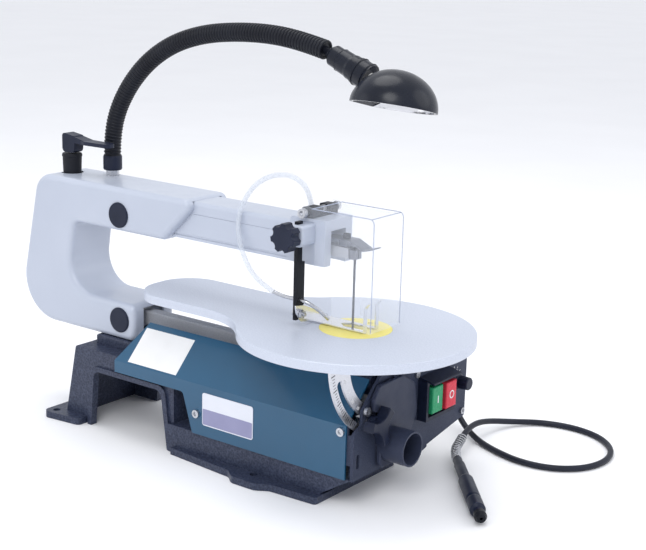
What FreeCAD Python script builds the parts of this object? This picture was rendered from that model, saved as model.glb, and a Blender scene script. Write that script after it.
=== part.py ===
import FreeCAD, Part
import math
import os

# Bench scroll saw with parallel arms, a tilting table, a swan-neck lamp and a
# flexible shaft outlet.  Millimetres.  The drawing frame has its origin where
# the blade crosses the table top: +X towards the user, +Y to the user's right,
# +Z up.  save() moves every piece so that the part's origin is the centre of
# the four bench bolts on the underside of the base.

V = FreeCAD.Vector
FWD = V(1, 0, 0)
SIDE = V(0, 1, 0)
UP = V(0, 0, 1)

# ---------------------------------------------------------------- driving sizes
TABLE_HEIGHT = 175.0       # table top above the bench
BOLT_SPAN_X = 312.0        # bench bolts, front to rear
BOLT_SPAN_Y = 132.0        # bench bolts, side to side
BOLT_HOLE_R = 4.5
FRONT_BOLT_X = -78.0       # front bench bolts, from the blade
REAR_BOLT_X = FRONT_BOLT_X - BOLT_SPAN_X
BLADE_X = -(FRONT_BOLT_X + REAR_BOLT_X) / 2
BENCH_Z = -TABLE_HEIGHT

RUN_FIT = 0.05             # radial play of a pin in its bore
GAP = 0.3                  # air between neighbours that move

PIVOT_X = -312.0           # arm pivots behind the blade
ARM_Z_UP = 81.0
ARM_Z_LOW = -45.0
CLAMP_X = -10.0            # blade clamp pivots
ROD_X = -426.0             # tension rod
ARM_H = 18.0
ARM_W = 14.0
PIVOT_R = 6.0
STROKE = 15.0
ARM_LEN = CLAMP_X - PIVOT_X
SWING = math.degrees(math.asin(STROKE / 2 / ARM_LEN))

FRAME_HALF = 35.0          # half width of the C frame
FRAME_WALL = 4.0
FRAME_TOP = 113.0
FRAME_BOTTOM = -69.0
THROAT_TOP = 61.5
THROAT_FLOOR = -24.0
EDGE_R = 7.0

BAR_HALF = 24.0            # half width of the fixed front arm casting
BAR_TOP = 110.0
BAR_BOTTOM = 66.0
BAR_WALL = 4.0
BAR_BACK = -262.0
HEAD_BACK = -68.0
HEAD_FRONT = -22.0
HEAD_TOP = 115.0

TABLE_R = 127.5
TABLE_CX = 5.0
TABLE_LEN = 415.0
TABLE_T = 10.0
NECK_HALF = 50.5
NECK_FILLET = 90.0
TAIL_R = 44.0
INSERT_R = 39.0
INSERT_X = 4.0
INSERT_T = 2.5
TILT_Z = -4.0              # tilt axis, on the blade line just below the top
TILT_MAX = 45.0
TRUNNION_R = 38.0
TRUNNION_X0 = 22.0
TRUNNION_X1 = 42.0
SCALE_X = 44.0
SCALE_T = 2.5
SCALE_R = 102.0
LOCK_R = 89.0              # lock bolt circle about the tilt axis
LOCK_ANGLE = 245.0
LOCK_BOLT_R = 4.0

BRACKET_X = 48.0
BRACKET_T = 3.5
PANEL_X = BRACKET_X + BRACKET_T
PANEL_T = 2.0
PANEL_RIGHT = 150.0
PANEL_TOP = -18.0
PANEL_BOTTOM = -142.0
PANEL_FRONT = PANEL_X + PANEL_T

BASE_HALF = 62.0
BASE_REAR_HALF = 58.0
BASE_WALL = 6.0
DECK_Z = -142.0
FLANGE_T = 8.0
REAR_TOP = -81.0
PAD_HALF = 36.0

COVER_Y = -65.0
COVER_T = 2.0
COVER_BEND_Z = -83.0
FLAP_Y = -26.0
FLAP_Z = -42.0

DUST_Y = -6.0
DUST_Z = -114.0
DUST_R = 19.0
DUST_BORE = 17.0
DUST_END = 86.0
DUST_FACE = 58.0
COVER_SCREWS = ((-163.0, -118.0), (36.0, -90.0))
PANEL_SCREWS = ((46.0, -52.0), (143.0, -119.0))
BRACKET_SCREW = (-44.0, -70.0)

KNOB_Y = 123.0             # speed knob
KNOB_HIGH = -78.0
GLAND_Y = 34.0             # mains cable entry in the rear wall
GLAND_Z = -128.0

MOTOR_X = -70.0
MOTOR_Z = -95.0
MOTOR_R = 37.0
MOTOR_Y0 = 58.0
MOTOR_Y1 = 146.0
SHAFT_R = 6.0
CRANK_PIN_R = 4.0
THROW = STROKE / 2 * (MOTOR_X - PIVOT_X) / ARM_LEN

GUARD_HALF = 27.0
GUARD_T = 2.0
GUARD_TOP = 127.0
GUARD_FLOOR = 6.0
GUARD_FRONT = 42.0
HINGE_X = -47.0
HINGE_Z = 121.0
HINGE_R = 3.0

BAR_X = -46.0              # hold-down bar
BAR_T = 4.0
BAR_Y0 = -42.0
BAR_Y1 = -28.5
FOOT_PIVOT_Y = -37.0
FOOT_PIVOT_Z = 15.0
KNOB_Z = 100.0
TUBE_Y = -35.2             # blower tube through the bar
TUBE_Z = 29.0
LEVER_X = ROD_X - 1.0      # tension lever's pin
LEVER_Z = 148.5

LAMP_X = -377.0
LAMP_Y = 20.0
NECK_R = 10.5
NECK_END = V(-38, 2, 284)
NECK_DIR = V(0.92, 0, -0.392).normalize()
BALL_R = 7.0
SHADE_AT = V(40, 2, 237)
SHADE_R = 41.0
SHADE_H = 38.0
HOOD_SLOPE = 42.0          # lean of the hood's flat back

HOSE_R = 3.0
HOSE_BORE = 2.0
TUBE_R = 2.0
CORD_R = 3.5
OUTLET = V(MOTOR_X, MOTOR_Y1 + 0.1, MOTOR_Z)
NOSE = 23.0                # length of the outlet coupling
TOOL_R = 8.4
TOOL_DIR = V(0.65, -0.76, 0).normalize()
TOOL_TAIL = V(70, 113, BENCH_Z + TOOL_R + 0.2)


# ---------------------------------------------------------------- small helpers
def box(x0, x1, y0, y1, z0, z1):
    return Part.makeBox(x1 - x0, y1 - y0, z1 - z0, V(x0, y0, z0))


def rod(r, at, axis, length):
    return Part.makeCylinder(r, length, at, axis)


def ring(outer, inner, at, axis, length):
    return rod(outer, at, axis, length).cut(rod(inner, at, axis, length))


def rounded(points):
    """Closed wire through (point, corner radius) pairs, arcs at the corners."""
    edges = []
    ends = []
    count = len(points)
    for i in range(count):
        here, r = points[i]
        before = points[i - 1][0]
        after = points[(i + 1) % count][0]
        if r <= 0:
            ends.append((here, here))
            continue
        to_before = (before - here).normalize()
        to_after = (after - here).normalize()
        half = to_before.getAngle(to_after) / 2
        reach = r / math.tan(half)
        middle = (to_before + to_after).normalize()
        bow = here + middle * (r / math.sin(half) - r)
        start = here + to_before * reach
        stop = here + to_after * reach
        edges.append(Part.Arc(start, bow, stop).toShape())
        ends.append((start, stop))
    for i in range(count):
        start = ends[i][1]
        stop = ends[(i + 1) % count][0]
        if (stop - start).Length > 1e-6:
            edges.append(Part.LineSegment(start, stop).toShape())
    return Part.Wire(Part.__sortEdges__(edges))


def plate_xz(points, y0, y1):
    """Outline of (x, z, corner radius) run along Y."""
    wire = rounded([(V(x, y0, z), r) for x, z, r in points])
    return Part.Face(wire).extrude(V(0, y1 - y0, 0))


def plate_yz(points, x0, x1):
    wire = rounded([(V(x0, y, z), r) for y, z, r in points])
    return Part.Face(wire).extrude(V(x1 - x0, 0, 0))


def plate_xy(points, z0, z1):
    wire = rounded([(V(x, y, z0), r) for x, y, r in points])
    return Part.Face(wire).extrude(V(0, 0, z1 - z0))


def edges_on(shape, test):
    """Edges whose every sample point passes the test."""
    found = []
    for edge in shape.Edges:
        span = edge.ParameterRange
        samples = [edge.valueAt(span[0] + (span[1] - span[0]) * k / 4) for k in range(5)]
        if all(test(p) for p in samples):
            found.append(edge)
    return found


def soften(shape, radius, test):
    return shape.makeFillet(radius, edges_on(shape, test))


def turned(profile, at, axis):
    """Solid of revolution from (radius, height) pairs about an axis."""
    points = [V(r, 0, h) for r, h in profile]
    face = Part.Face(Part.makePolygon(points + [points[0]]))
    solid = face.revolve(V(0, 0, 0), UP, 360)
    turn = FreeCAD.Rotation(UP, axis)
    solid.Placement = FreeCAD.Placement(at, turn)
    return solid


def star(lobes, outer, inner, at, axis, thick, spin=0.0):
    """Hand knob: a disc with round bites taken out between its lobes."""
    body = rod(outer, V(0, 0, 0), UP, thick)
    bite = (outer - inner) * 1.6
    reach = inner + bite
    for k in range(lobes):
        angle = math.radians(spin + 360.0 * k / lobes)
        centre = V(reach * math.cos(angle), reach * math.sin(angle), 0)
        body = body.cut(rod(bite, centre, UP, thick))
    body = soften(body, 1.2, lambda p: p.z > thick - 0.01)
    body.Placement = FreeCAD.Placement(at, FreeCAD.Rotation(UP, axis))
    return body


def hexagon(across, at, axis, height):
    r = across / math.sqrt(3)
    points = [V(r * math.cos(math.pi * k / 3), r * math.sin(math.pi * k / 3), 0) for k in range(6)]
    solid = Part.Face(Part.makePolygon(points + [points[0]])).extrude(V(0, 0, height))
    solid.Placement = FreeCAD.Placement(at, FreeCAD.Rotation(UP, axis))
    return solid


def cap_screw(head_r, head_h, shank_r, shank_l, at, axis):
    """Socket screw: at is under the head, axis points out of the head."""
    head = rod(head_r, at, axis, head_h)
    socket = hexagon(head_r, at + axis * (head_h * 0.45), axis, head_h)
    return head.fuse(rod(shank_r, at - axis * shank_l, axis, shank_l)).cut(socket)


def route(points):
    """Straight runs joined by tangent arcs; each arc is as big as its runs allow."""
    start = points[0]
    edges = []
    radii = []
    for i in range(1, len(points) - 1):
        here = points[i]
        back = points[i - 1] - here
        ahead = points[i + 1] - here
        turn = math.pi - back.getAngle(ahead)
        reach = 0.45 * min(back.Length, ahead.Length)
        radius = reach / math.tan(turn / 2)
        radii.append(radius)
        back = back.normalize()
        ahead = ahead.normalize()
        enter = here + back * reach
        leave = here + ahead * reach
        middle = (back + ahead).normalize()
        half = (math.pi - turn) / 2
        bow = here + middle * (radius / math.sin(half) - radius)
        edges.append(Part.LineSegment(start, enter).toShape())
        edges.append(Part.Arc(enter, bow, leave).toShape())
        start = leave
    edges.append(Part.LineSegment(start, points[-1]).toShape())
    return Part.Wire(edges), radii


def tube_along(points, outer, inner=0.0):
    wire, radii = route(points)
    first = (points[1] - points[0]).normalize()

    def swept(r):
        disc = Part.Wire(Part.makeCircle(r, points[0], first))
        return wire.makePipeShell([disc], True, False)

    solid = swept(outer)
    if inner > 0:
        solid = solid.cut(swept(inner))
    section = math.pi * (outer ** 2 - inner ** 2)
    print("tube: smallest bend %.1f, length %.0f, volume ratio %.3f"
          % (min(radii), wire.Length, solid.Volume / (section * wire.Length)))
    return solid


def save(name, *pieces):
    shape = pieces[0] if len(pieces) == 1 else Part.makeCompound(list(pieces))
    shape = shape.copy()
    shape.translate(V(BLADE_X, 0, TABLE_HEIGHT))
    if not shape.isValid():
        print("not valid:", name)
    print("%-20s %d solids" % (name, len(shape.Solids)))
    shape.exportStep("parts/" + name + ".step")


# ---------------------------------------------------------------- base and frame
def side_outline(inset):
    """Rear block of the base in side view, drawn in by a wall thickness."""
    return [(-382.0 + inset, BENCH_Z, 0), (-363.0 + inset, REAR_TOP - inset, 4),
            (-204.0, REAR_TOP - inset, 0), (-204.0, BENCH_Z, 0)]


def bench_holes():
    return [rod(BOLT_HOLE_R, V(x, s * BOLT_SPAN_Y / 2, BENCH_Z), UP, FLANGE_T)
            for x in (FRONT_BOLT_X, REAR_BOLT_X) for s in (-1, 1)]


def base_casting():
    rear = plate_xz(side_outline(0), -BASE_REAR_HALF, BASE_REAR_HALF)
    hollow_half = BASE_REAR_HALF - BASE_WALL
    rear = rear.cut(plate_xz(side_outline(BASE_WALL), -hollow_half, hollow_half))
    arch = [(-336.0, BENCH_Z - 1, 0), (-330.0, -106.0, 9), (-222.0, -106.0, 9), (-212.0, BENCH_Z - 1, 0)]
    rear = rear.cut(plate_xz(arch, -BASE_HALF, BASE_HALF))
    for s in (-1, 1):
        rim = plate_xz([(-342.0, BENCH_Z, 0), (-336.0, -100.0, 12), (-216.0, -100.0, 12),
                        (-206.0, BENCH_Z, 0)], s * BASE_REAR_HALF - 3, s * BASE_REAR_HALF + 3)
        rear = rear.fuse(rim.cut(plate_xz(arch, -BASE_HALF - 9, BASE_HALF + 9)))
    pad = box(-350, -206, -PAD_HALF, PAD_HALF, REAR_TOP, FRAME_BOTTOM)
    pad = soften(pad, 3, lambda p: p.z > FRAME_BOTTOM - 0.01)

    def tray(inset, half):
        outline = [(-210.0, BENCH_Z, 0), (-210.0, DECK_Z - inset, 0), (BRACKET_X - inset, DECK_Z - inset, 0),
                   (8.0 - inset, BENCH_Z + FLANGE_T, 0), (8.0 - inset, BENCH_Z, 0)]
        return plate_xz(outline, -half, half)

    front = tray(0, BASE_HALF).cut(tray(BASE_WALL, BASE_HALF - BASE_WALL))
    step = box(-210, -204, -BASE_REAR_HALF, BASE_REAR_HALF, DECK_Z - BASE_WALL, REAR_TOP)
    ear_half = BOLT_SPAN_Y / 2 + 20
    ears = plate_xy([(-200, -68, 0), (FRONT_BOLT_X - 28, -76, 10), (FRONT_BOLT_X - 16, -ear_half, 10),
                     (FRONT_BOLT_X + 16, -ear_half, 10), (FRONT_BOLT_X + 30, -77, 10), (12, -74, 4),
                     (12, 74, 4), (FRONT_BOLT_X + 30, 77, 10), (FRONT_BOLT_X + 16, ear_half, 10),
                     (FRONT_BOLT_X - 16, ear_half, 10), (FRONT_BOLT_X - 28, 76, 10), (-200, 68, 0)],
                    BENCH_Z, BENCH_Z + FLANGE_T)
    feet = plate_xy([(REAR_BOLT_X - 12, -78, 8), (-346, -72, 6), (-346, 72, 6),
                     (REAR_BOLT_X - 12, 78, 8)], BENCH_Z, BENCH_Z + FLANGE_T)
    ears = ears.cut(box(-204 - 1, 2, -BASE_HALF + BASE_WALL, BASE_HALF - BASE_WALL, BENCH_Z - 1, 0))
    feet = feet.cut(box(-376, -300, -hollow_half, hollow_half, BENCH_Z - 1, 0))
    wall = plate_xz([(MOTOR_X - 55, DECK_Z, 0), (MOTOR_X - 44, -54, 16), (MOTOR_X + 44, -54, 16),
                     (MOTOR_X + 55, DECK_Z, 0)], MOTOR_Y0 - 8, MOTOR_Y0)
    wall = wall.cut(rod(22, V(MOTOR_X, MOTOR_Y0 - 20, MOTOR_Z), SIDE, 40))
    apron = box(BRACKET_X - 6, BRACKET_X, -58, 58, DECK_Z, -124)
    lug = box(-170, -156, -BASE_HALF, -BASE_HALF + BASE_WALL, DECK_Z - 1, -110)
    body = rear.fuse([pad, front, step, ears, feet, wall, apron, lug]).removeSplitter()
    for hole in bench_holes():
        body = body.cut(hole)
    x, z = COVER_SCREWS[0]
    body = body.cut(rod(2.6, V(x, -BASE_HALF - 1, z), SIDE, BASE_WALL + 2))
    body = body.cut(rod(6.5, V(-384, GLAND_Y, GLAND_Z), FWD, 26))
    return body.cut(dust_hole())


def dust_hole():
    return rod(DUST_BORE - 1, V(BRACKET_X - 7, DUST_Y, DUST_Z), FWD, 14)


def frame_outline(inset):
    w = inset
    return [(-192.0 - w, FRAME_TOP - w, 9 - w / 2), (-452.0 + w, FRAME_TOP - w, 26 - w),
            (-492.0 + w * 1.2, FRAME_BOTTOM + w, 52 - w), (-290.0 - w, FRAME_BOTTOM + w, 9 - w / 2),
            (-290.0 - w, THROAT_FLOOR - w, 9 - w / 2), (-402.0 - w, THROAT_FLOOR - w, 38 + w),
            (-389.5 - w, THROAT_TOP + w, 10 + w), (-243.0 - w, THROAT_TOP + w, 9 - w / 2)]


def frame_half(side):
    """One shell of the C frame, split on the centre plane."""
    outer = plate_xz(frame_outline(0), 0, FRAME_HALF)
    outer = soften(outer, EDGE_R, lambda p: p.y > FRAME_HALF - 0.01)
    shell = outer.cut(plate_xz(frame_outline(FRAME_WALL), -1, FRAME_HALF - FRAME_WALL))
    inner_y = ARM_W / 2 + 2.5
    for z in (ARM_Z_UP, ARM_Z_LOW):
        shell = shell.fuse(rod(13, V(PIVOT_X, inner_y, z), SIDE, FRAME_HALF - FRAME_WALL - inner_y))
        shell = shell.cut(rod(PIVOT_R + 2, V(PIVOT_X, 0, z), SIDE, FRAME_HALF - FRAME_WALL))
        shell = shell.cut(rod(11.0, V(PIVOT_X, FRAME_HALF - 6, z), SIDE, 6))
    tongue = box(-296, -212, 0, 28, FRAME_BOTTOM, FRAME_BOTTOM + 8)
    shell = shell.fuse(tongue)
    shell = shell.cut(box(-300, -180, -1, BAR_HALF + GAP, BAR_BOTTOM - GAP, BAR_TOP + 0.05))
    shell = shell.cut(box(-300, -280, -1, ARM_W / 2 + 10.5, -61, -30))
    shell = shell.cut(rod(13.5, V(ROD_X, 0, FRAME_TOP - 10), UP, 20))
    if side > 0:
        shell = shell.cut(rod(4 + RUN_FIT, V(LAMP_X, LAMP_Y, FRAME_TOP - 10), UP, 12))
    shell = shell.removeSplitter()
    if side < 0:
        shell = shell.mirror(V(0, 0, 0), SIDE)
    return shell


def arm_casting():
    """Fixed front arm: an upturned channel that ends in the head."""
    beam = box(BAR_BACK, HEAD_FRONT, -BAR_HALF, BAR_HALF, BAR_BOTTOM, BAR_TOP)
    beam = soften(beam, 5, lambda p: p.z > BAR_TOP - 0.01 and abs(abs(p.y) - BAR_HALF) < 0.01)
    head = box(HEAD_BACK, HEAD_FRONT, -BAR_HALF, BAR_HALF, BAR_BOTTOM, HEAD_TOP)
    head = soften(head, 4, lambda p: abs(p.x - HEAD_BACK) < 0.01 and p.z > BAR_TOP - 9)
    body = beam.fuse(head)
    inner = BAR_HALF - BAR_WALL
    body = body.cut(box(BAR_BACK - 1, HEAD_FRONT - 5, -inner, inner, BAR_BOTTOM + 4, BAR_TOP - 4))
    body = body.cut(box(BAR_BACK - 1, HEAD_FRONT - 5, -14, 14, BAR_BOTTOM - 1, BAR_BOTTOM + 5))
    body = body.cut(box(HEAD_FRONT - 6, HEAD_FRONT + 1, -13, 13, BAR_BOTTOM - 1, 103))
    for s in (-1, 1):
        groove = box(BAR_BACK, HEAD_BACK - 4, s * BAR_HALF - 0.8, s * BAR_HALF + 0.8,
                     BAR_BOTTOM + 3, BAR_BOTTOM + 4.5)
        body = body.cut(groove)
    body = body.cut(side_plate_blank(0.15))
    boss = plate_xz([(-62.0, KNOB_Z - 12, 6), (-62.0, KNOB_Z + 11, 6), (-34.0, KNOB_Z + 11, 3),
                     (-34.0, KNOB_Z - 12, 6)], -47, -BAR_HALF + 1)
    boss = soften(boss, 3, lambda p: p.y < -46.9)
    body = body.fuse(boss)
    slot = box(BAR_X - BAR_T / 2 - 0.1, BAR_X + BAR_T / 2 + 0.1, BAR_Y0 - 0.1, BAR_Y1 + 0.1, 60, 130)
    body = body.cut(slot).cut(rod(3.05, V(BAR_X, -60, KNOB_Z), SIDE, 60 + BAR_Y0))
    body = body.cut(rod(HOSE_R - 0.9, V(-60, 3, BAR_TOP - 5), UP, 14))
    return body.removeSplitter()


def side_plate_blank(extra):
    y = -BAR_HALF
    return plate_xz([(-226.0 - extra, 72.0 - extra, 0), (-206.0 - extra, 96.0 + extra, 0),
                     (-84.0 + extra, 96.0 + extra, 3), (-84.0 + extra, 72.0 - extra, 3)], y - 0.5, y + 1.5 + extra)


def arm_side_plate():
    return side_plate_blank(0)


def pivot_parts():
    pins = []
    caps = []
    bushes = []
    for z in (ARM_Z_UP, ARM_Z_LOW):
        reach = FRAME_HALF - 6.5
        pins.append(rod(PIVOT_R, V(PIVOT_X, -reach, z), SIDE, 2 * reach))
        for s in (-1, 1):
            out = SIDE * s
            cap = rod(10.8, V(PIVOT_X, s * (FRAME_HALF - 6), z), out, 6.2)
            brim = rod(15, V(PIVOT_X, s * (FRAME_HALF + 0.05), z), out, 2.2)
            brim = soften(brim, 1.4, lambda p, s=s: s * p.y > FRAME_HALF + 2.2)
            caps.append(cap.fuse(brim))
            inner_y = ARM_W / 2 + 2.5
            sleeve = ring(PIVOT_R + 2, PIVOT_R, V(PIVOT_X, s * inner_y, z), out, 12)
            lip = ring(PIVOT_R + 5, PIVOT_R, V(PIVOT_X, s * (inner_y - 1.5), z), out, 1.5)
            bushes.append(sleeve.fuse(lip))
    return pins, caps, bushes


def cover_sheet():
    """Folded cover: upright side, sloping flap, open underneath the table."""
    t = COVER_T
    section = [(COVER_Y, DECK_Z, 0), (COVER_Y, COVER_BEND_Z, 0), (FLAP_Y, FLAP_Z, 0),
               (FLAP_Y, FLAP_Z - t * 1.4, 0), (COVER_Y + t, COVER_BEND_Z - t * 0.6, 0), (COVER_Y + t, DECK_Z, 0)]
    sheet = plate_yz(section, -296, 42)
    trim = plate_xz([(-320, -200, 0), (-320, -97, 0), (-184, -97, 5), (-170, -141, 0), (-170, -200, 0)], -90, -50)
    sheet = sheet.cut(trim)
    slant = plate_xz([(-300, -99, 0), (-291, -99, 0), (-291, COVER_BEND_Z, 0), (-270, FLAP_Z + 2, 0),
                      (-300, FLAP_Z + 2, 0)], -90, 0)
    sheet = sheet.cut(slant)
    for x, z in COVER_SCREWS:
        sheet = sheet.cut(rod(2.6, V(x, COVER_Y - 5, z), SIDE, 12))
    return sheet


def tilt_bracket():
    outline = [(-64, DECK_Z, 0), (-64, -90, 8), (-50, -84, 5), (-50, -68, 3), (2, -18, 4), (2, DECK_Z, 0)]
    plate = plate_yz(outline, BRACKET_X, PANEL_X)
    lock = lock_centre()
    plate = plate.cut(rod(LOCK_BOLT_R + 0.2, V(BRACKET_X - 5, lock.y, lock.z), FWD, 20))
    relief = plate_yz([(-58, -130, 2.4), (-58, -114, 2.4), (-53, -114, 2.4), (-53, -130, 2.4)],
                      BRACKET_X - 1, PANEL_X + 1)
    y, z = BRACKET_SCREW
    plate = plate.cut(relief).cut(rod(2.6, V(BRACKET_X - 1, y, z), FWD, 8)).cut(dust_hole())
    inner = COVER_Y + COVER_T + 0.2
    tab = box(30, BRACKET_X, inner, inner + 2.8, -126, -93).fuse(box(30, 43, inner, inner + 2.8, -93, -84))
    x, z = COVER_SCREWS[1]
    return plate.fuse(tab).cut(rod(2.6, V(x, inner - 1, z), SIDE, 6)).removeSplitter()


def front_panel():
    x0 = PANEL_X
    outline = [(2.5, PANEL_BOTTOM, 0), (2.5, PANEL_TOP, 3), (PANEL_RIGHT, PANEL_TOP, 5),
               (PANEL_RIGHT, -126, 3), (60, PANEL_BOTTOM, 4)]
    plate = plate_yz(outline, x0, PANEL_FRONT)
    edge = box(x0 - 16, x0, PANEL_RIGHT - PANEL_T, PANEL_RIGHT, -122, PANEL_TOP - 6)
    lug = plate_yz([(62, PANEL_BOTTOM - 5, 2), (62, PANEL_BOTTOM + 8, 0), (76, PANEL_BOTTOM + 8, 0),
                    (76, PANEL_BOTTOM - 2, 2)], x0 - 6, x0)
    web = box(BRACKET_X, x0, 2.5, 58, DECK_Z, -128)
    plate = plate.fuse([edge, lug, web])
    plate = plate.cut(box(x0 - 1, PANEL_FRONT + 1, 53, 105, -102, -62))
    plate = plate.cut(rod(3.6, V(x0 - 1, KNOB_Y, KNOB_HIGH), FWD, 5))
    for y, z in PANEL_SCREWS:
        plate = plate.cut(rod(2.1, V(x0 - 1, y, z), FWD, 5))
    return plate.cut(dust_hole()).removeSplitter()


def dust_port():
    """Moulded elbow cover that carries the extraction spigot."""
    shell = plate_yz([(-24, -138, 8), (-26, -74, 3), (-38, -72, 3), (-38, -58, 3), (-29, -45, 5), (14, -44, 5),
                      (38, -58, 10), (44, -92, 20), (24, -124, 14), (14, -138, 8)], PANEL_FRONT + 0.1, DUST_FACE)
    shell = soften(shell, 1.5, lambda p: p.x > DUST_FACE - 0.01)
    hollow = plate_yz([(-20, -134, 6), (-22, -69, 2), (-34, -68, 2), (-34, -60, 3), (-27, -49, 4), (11, -48, 4),
                       (34, -61, 8), (39, -90, 16), (20, -121, 10), (11, -134, 6)], PANEL_FRONT - 1, DUST_FACE - 2.4)
    spout = rod(DUST_R, V(DUST_FACE - 2.4, DUST_Y, DUST_Z), FWD, DUST_END - DUST_FACE + 2.4)
    shell = shell.cut(hollow).fuse(spout)
    return shell.cut(rod(DUST_BORE, V(DUST_FACE - 6, DUST_Y, DUST_Z), FWD, 60)).removeSplitter()


def switch_parts():
    x0 = PANEL_FRONT + 0.05
    face = x0 + 12
    frame = box(x0, face, 50, 108, -105, -59)
    hood = plate_xz([(x0, -59, 0), (x0, -56, 0), (face + 8, -60, 1), (face + 8, -62, 0), (face, -60.5, 0)],
                    51, 107)
    frame = frame.fuse(hood)
    frame = frame.cut(box(x0 - 1, face + 1, 54, 104, -101, -63))
    skirt = box(x0 - 24, x0, 54.5, 103.5, -100.5, -63.5).cut(box(x0 - 22, x0 + 1, 56, 102, -99, -65))
    mullion = box(x0, face - 3, 78, 80, -101, -63)
    frame = frame.fuse([skirt, mullion]).removeSplitter()
    start = box(x0 - 14, face + 3.5, 56.5, 77, -97, -67)
    stop = box(x0 - 14, face + 5.5, 81, 101.5, -97, -67)
    buttons = [soften(b, 1.5, lambda p, b=b: p.x > b.BoundBox.XMax - 0.01) for b in (start, stop)]
    return frame, buttons[0], buttons[1]


def speed_knob():
    x0 = PANEL_FRONT + 1.2
    body = turned([(0, 0), (9.5, 0), (9.0, 6), (7.6, 7.5), (7.2, 19), (6.2, 20), (0, 20)],
                  V(x0, KNOB_Y, KNOB_HIGH), FWD)
    for k in range(12):
        angle = math.radians(30 * k)
        at = V(x0 + 8, KNOB_Y + 7.7 * math.cos(angle), KNOB_HIGH + 7.7 * math.sin(angle))
        body = body.cut(rod(0.7, at, FWD, 13))
    return body.fuse(rod(3.0, V(PANEL_X - 14, KNOB_Y, KNOB_HIGH), FWD, 18)).removeSplitter()


def control_board():
    board = box(PANEL_X - 34, PANEL_X - 32, 56, 136, -112, -34)
    pot = rod(8, V(PANEL_X - 32, KNOB_Y, KNOB_HIGH), FWD, 20)
    socket = rod(3.1, V(PANEL_X - 22, KNOB_Y, KNOB_HIGH), FWD, 30)
    sink = box(PANEL_X - 32, PANEL_X - 20, 60, 100, -58, -38)
    posts = [rod(3, V(PANEL_X - 32, y, z), FWD, 32) for y, z in ((60, -106), (132, -106), (108, -40), (132, -40))]
    return board.fuse([pot, sink] + posts).cut(socket).removeSplitter()


# ---------------------------------------------------------------- drive
def motor_case():
    at = V(MOTOR_X, MOTOR_Y0 + 0.05, MOTOR_Z)
    length = MOTOR_Y1 - MOTOR_Y0
    case = turned([(0, 0), (30, 0), (MOTOR_R, 6), (MOTOR_R, length - 12), (MOTOR_R - 8, length), (0, length)],
                  at, SIDE)
    bore = rod(MOTOR_R - 3, V(MOTOR_X, MOTOR_Y0 + 8, MOTOR_Z), SIDE, length - 18)
    case = case.cut(bore.cut(rod(MOTOR_R - 12, V(MOTOR_X, MOTOR_Y0, MOTOR_Z), SIDE, length)))
    case = case.cut(rod(SHAFT_R + RUN_FIT, V(MOTOR_X, MOTOR_Y0 - 5, MOTOR_Z), SIDE, length + 10))
    pilot = ring(21.9, SHAFT_R + RUN_FIT, V(MOTOR_X, MOTOR_Y0 - 7, MOTOR_Z), SIDE, 7.05)
    case = case.fuse(pilot)
    for k in range(10):
        angle = 2 * math.pi * k / 10
        at = V(MOTOR_X + 30 * math.cos(angle), MOTOR_Y1 - 14, MOTOR_Z + 30 * math.sin(angle))
        case = case.cut(rod(3, at, SIDE, 20))
    return case.removeSplitter()


def motor_shaft():
    y0 = 19.5
    shaft = rod(SHAFT_R, V(MOTOR_X, y0, MOTOR_Z), SIDE, MOTOR_Y1 + 6 - y0)
    disc = rod(13, V(MOTOR_X, y0, MOTOR_Z), SIDE, 8)
    pin = rod(CRANK_PIN_R, V(MOTOR_X + THROW, y0 - 10.5, MOTOR_Z), SIDE, 11)
    return shaft.fuse([disc, pin]).removeSplitter()


def connecting_rod():
    y0 = 9.5
    eye = CRANK_PIN_R + 2 * THROW + GAP
    ringed = rod(eye + 5, V(MOTOR_X, y0, MOTOR_Z), SIDE, 8)
    small = rod(8, V(MOTOR_X, y0, ARM_Z_LOW), SIDE, 8)
    bar = box(MOTOR_X - 5, MOTOR_X + 5, y0, y0 + 8, MOTOR_Z + 8, ARM_Z_LOW)
    body = ringed.fuse([small, bar]).cut(rod(eye, V(MOTOR_X, y0, MOTOR_Z), SIDE, 8))
    return body.cut(rod(4 + RUN_FIT, V(MOTOR_X, y0, ARM_Z_LOW), SIDE, 8)).removeSplitter()


def arm(z, front_h):
    """Rocker with a bore at its pivot and a fork at each end."""
    half = ARM_H / 2
    w = ARM_W / 2
    body = box(ROD_X - 9, -40, -w, w, z - half, z + half)
    body = soften(body, 2.5, lambda p: abs(abs(p.y) - w) < 0.01 and abs(abs(p.z - z) - half) < 0.01)
    nose = box(-62, CLAMP_X + 6, -w, w, z - front_h / 2, z + front_h / 2)
    body = body.fuse([nose, rod(15, V(PIVOT_X, -w, z), SIDE, 2 * w)])
    body = body.cut(rod(PIVOT_R + RUN_FIT, V(PIVOT_X, -w, z), SIDE, 2 * w))
    body = body.cut(box(CLAMP_X - 8, CLAMP_X + 7, -3.6, 3.6, z - 12, z + 12))
    return body.fuse(rod(2.5, V(CLAMP_X, -w, z), SIDE, 2 * w))


def lower_arm():
    z = ARM_Z_LOW
    body = arm(z, 12)
    body = body.cut(box(ROD_X - 10, ROD_X + 8, -3.6, 3.6, z - 12, z + 12))
    body = body.fuse(rod(3, V(ROD_X, -ARM_W / 2, z), SIDE, ARM_W))
    body = body.fuse(rod(4, V(MOTOR_X, 6, z), SIDE, 12))
    return body.removeSplitter()


def upper_arm():
    z = ARM_Z_UP
    body = arm(z, 11)
    body = body.cut(box(ROD_X - 7, ROD_X + 7, -4.5, 4.5, z - 12, z + 12))
    return body.removeSplitter()


def tension_nut():
    block = box(ROD_X - 7, ROD_X + 7, -3.3, 3.3, ARM_Z_LOW - 5, ARM_Z_LOW + 11)
    block = block.cut(rod(3 + RUN_FIT, V(ROD_X, -4, ARM_Z_LOW), SIDE, 8))
    return block.cut(rod(2 + RUN_FIT, V(ROD_X, 0, ARM_Z_LOW + 5), UP, 8))


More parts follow.
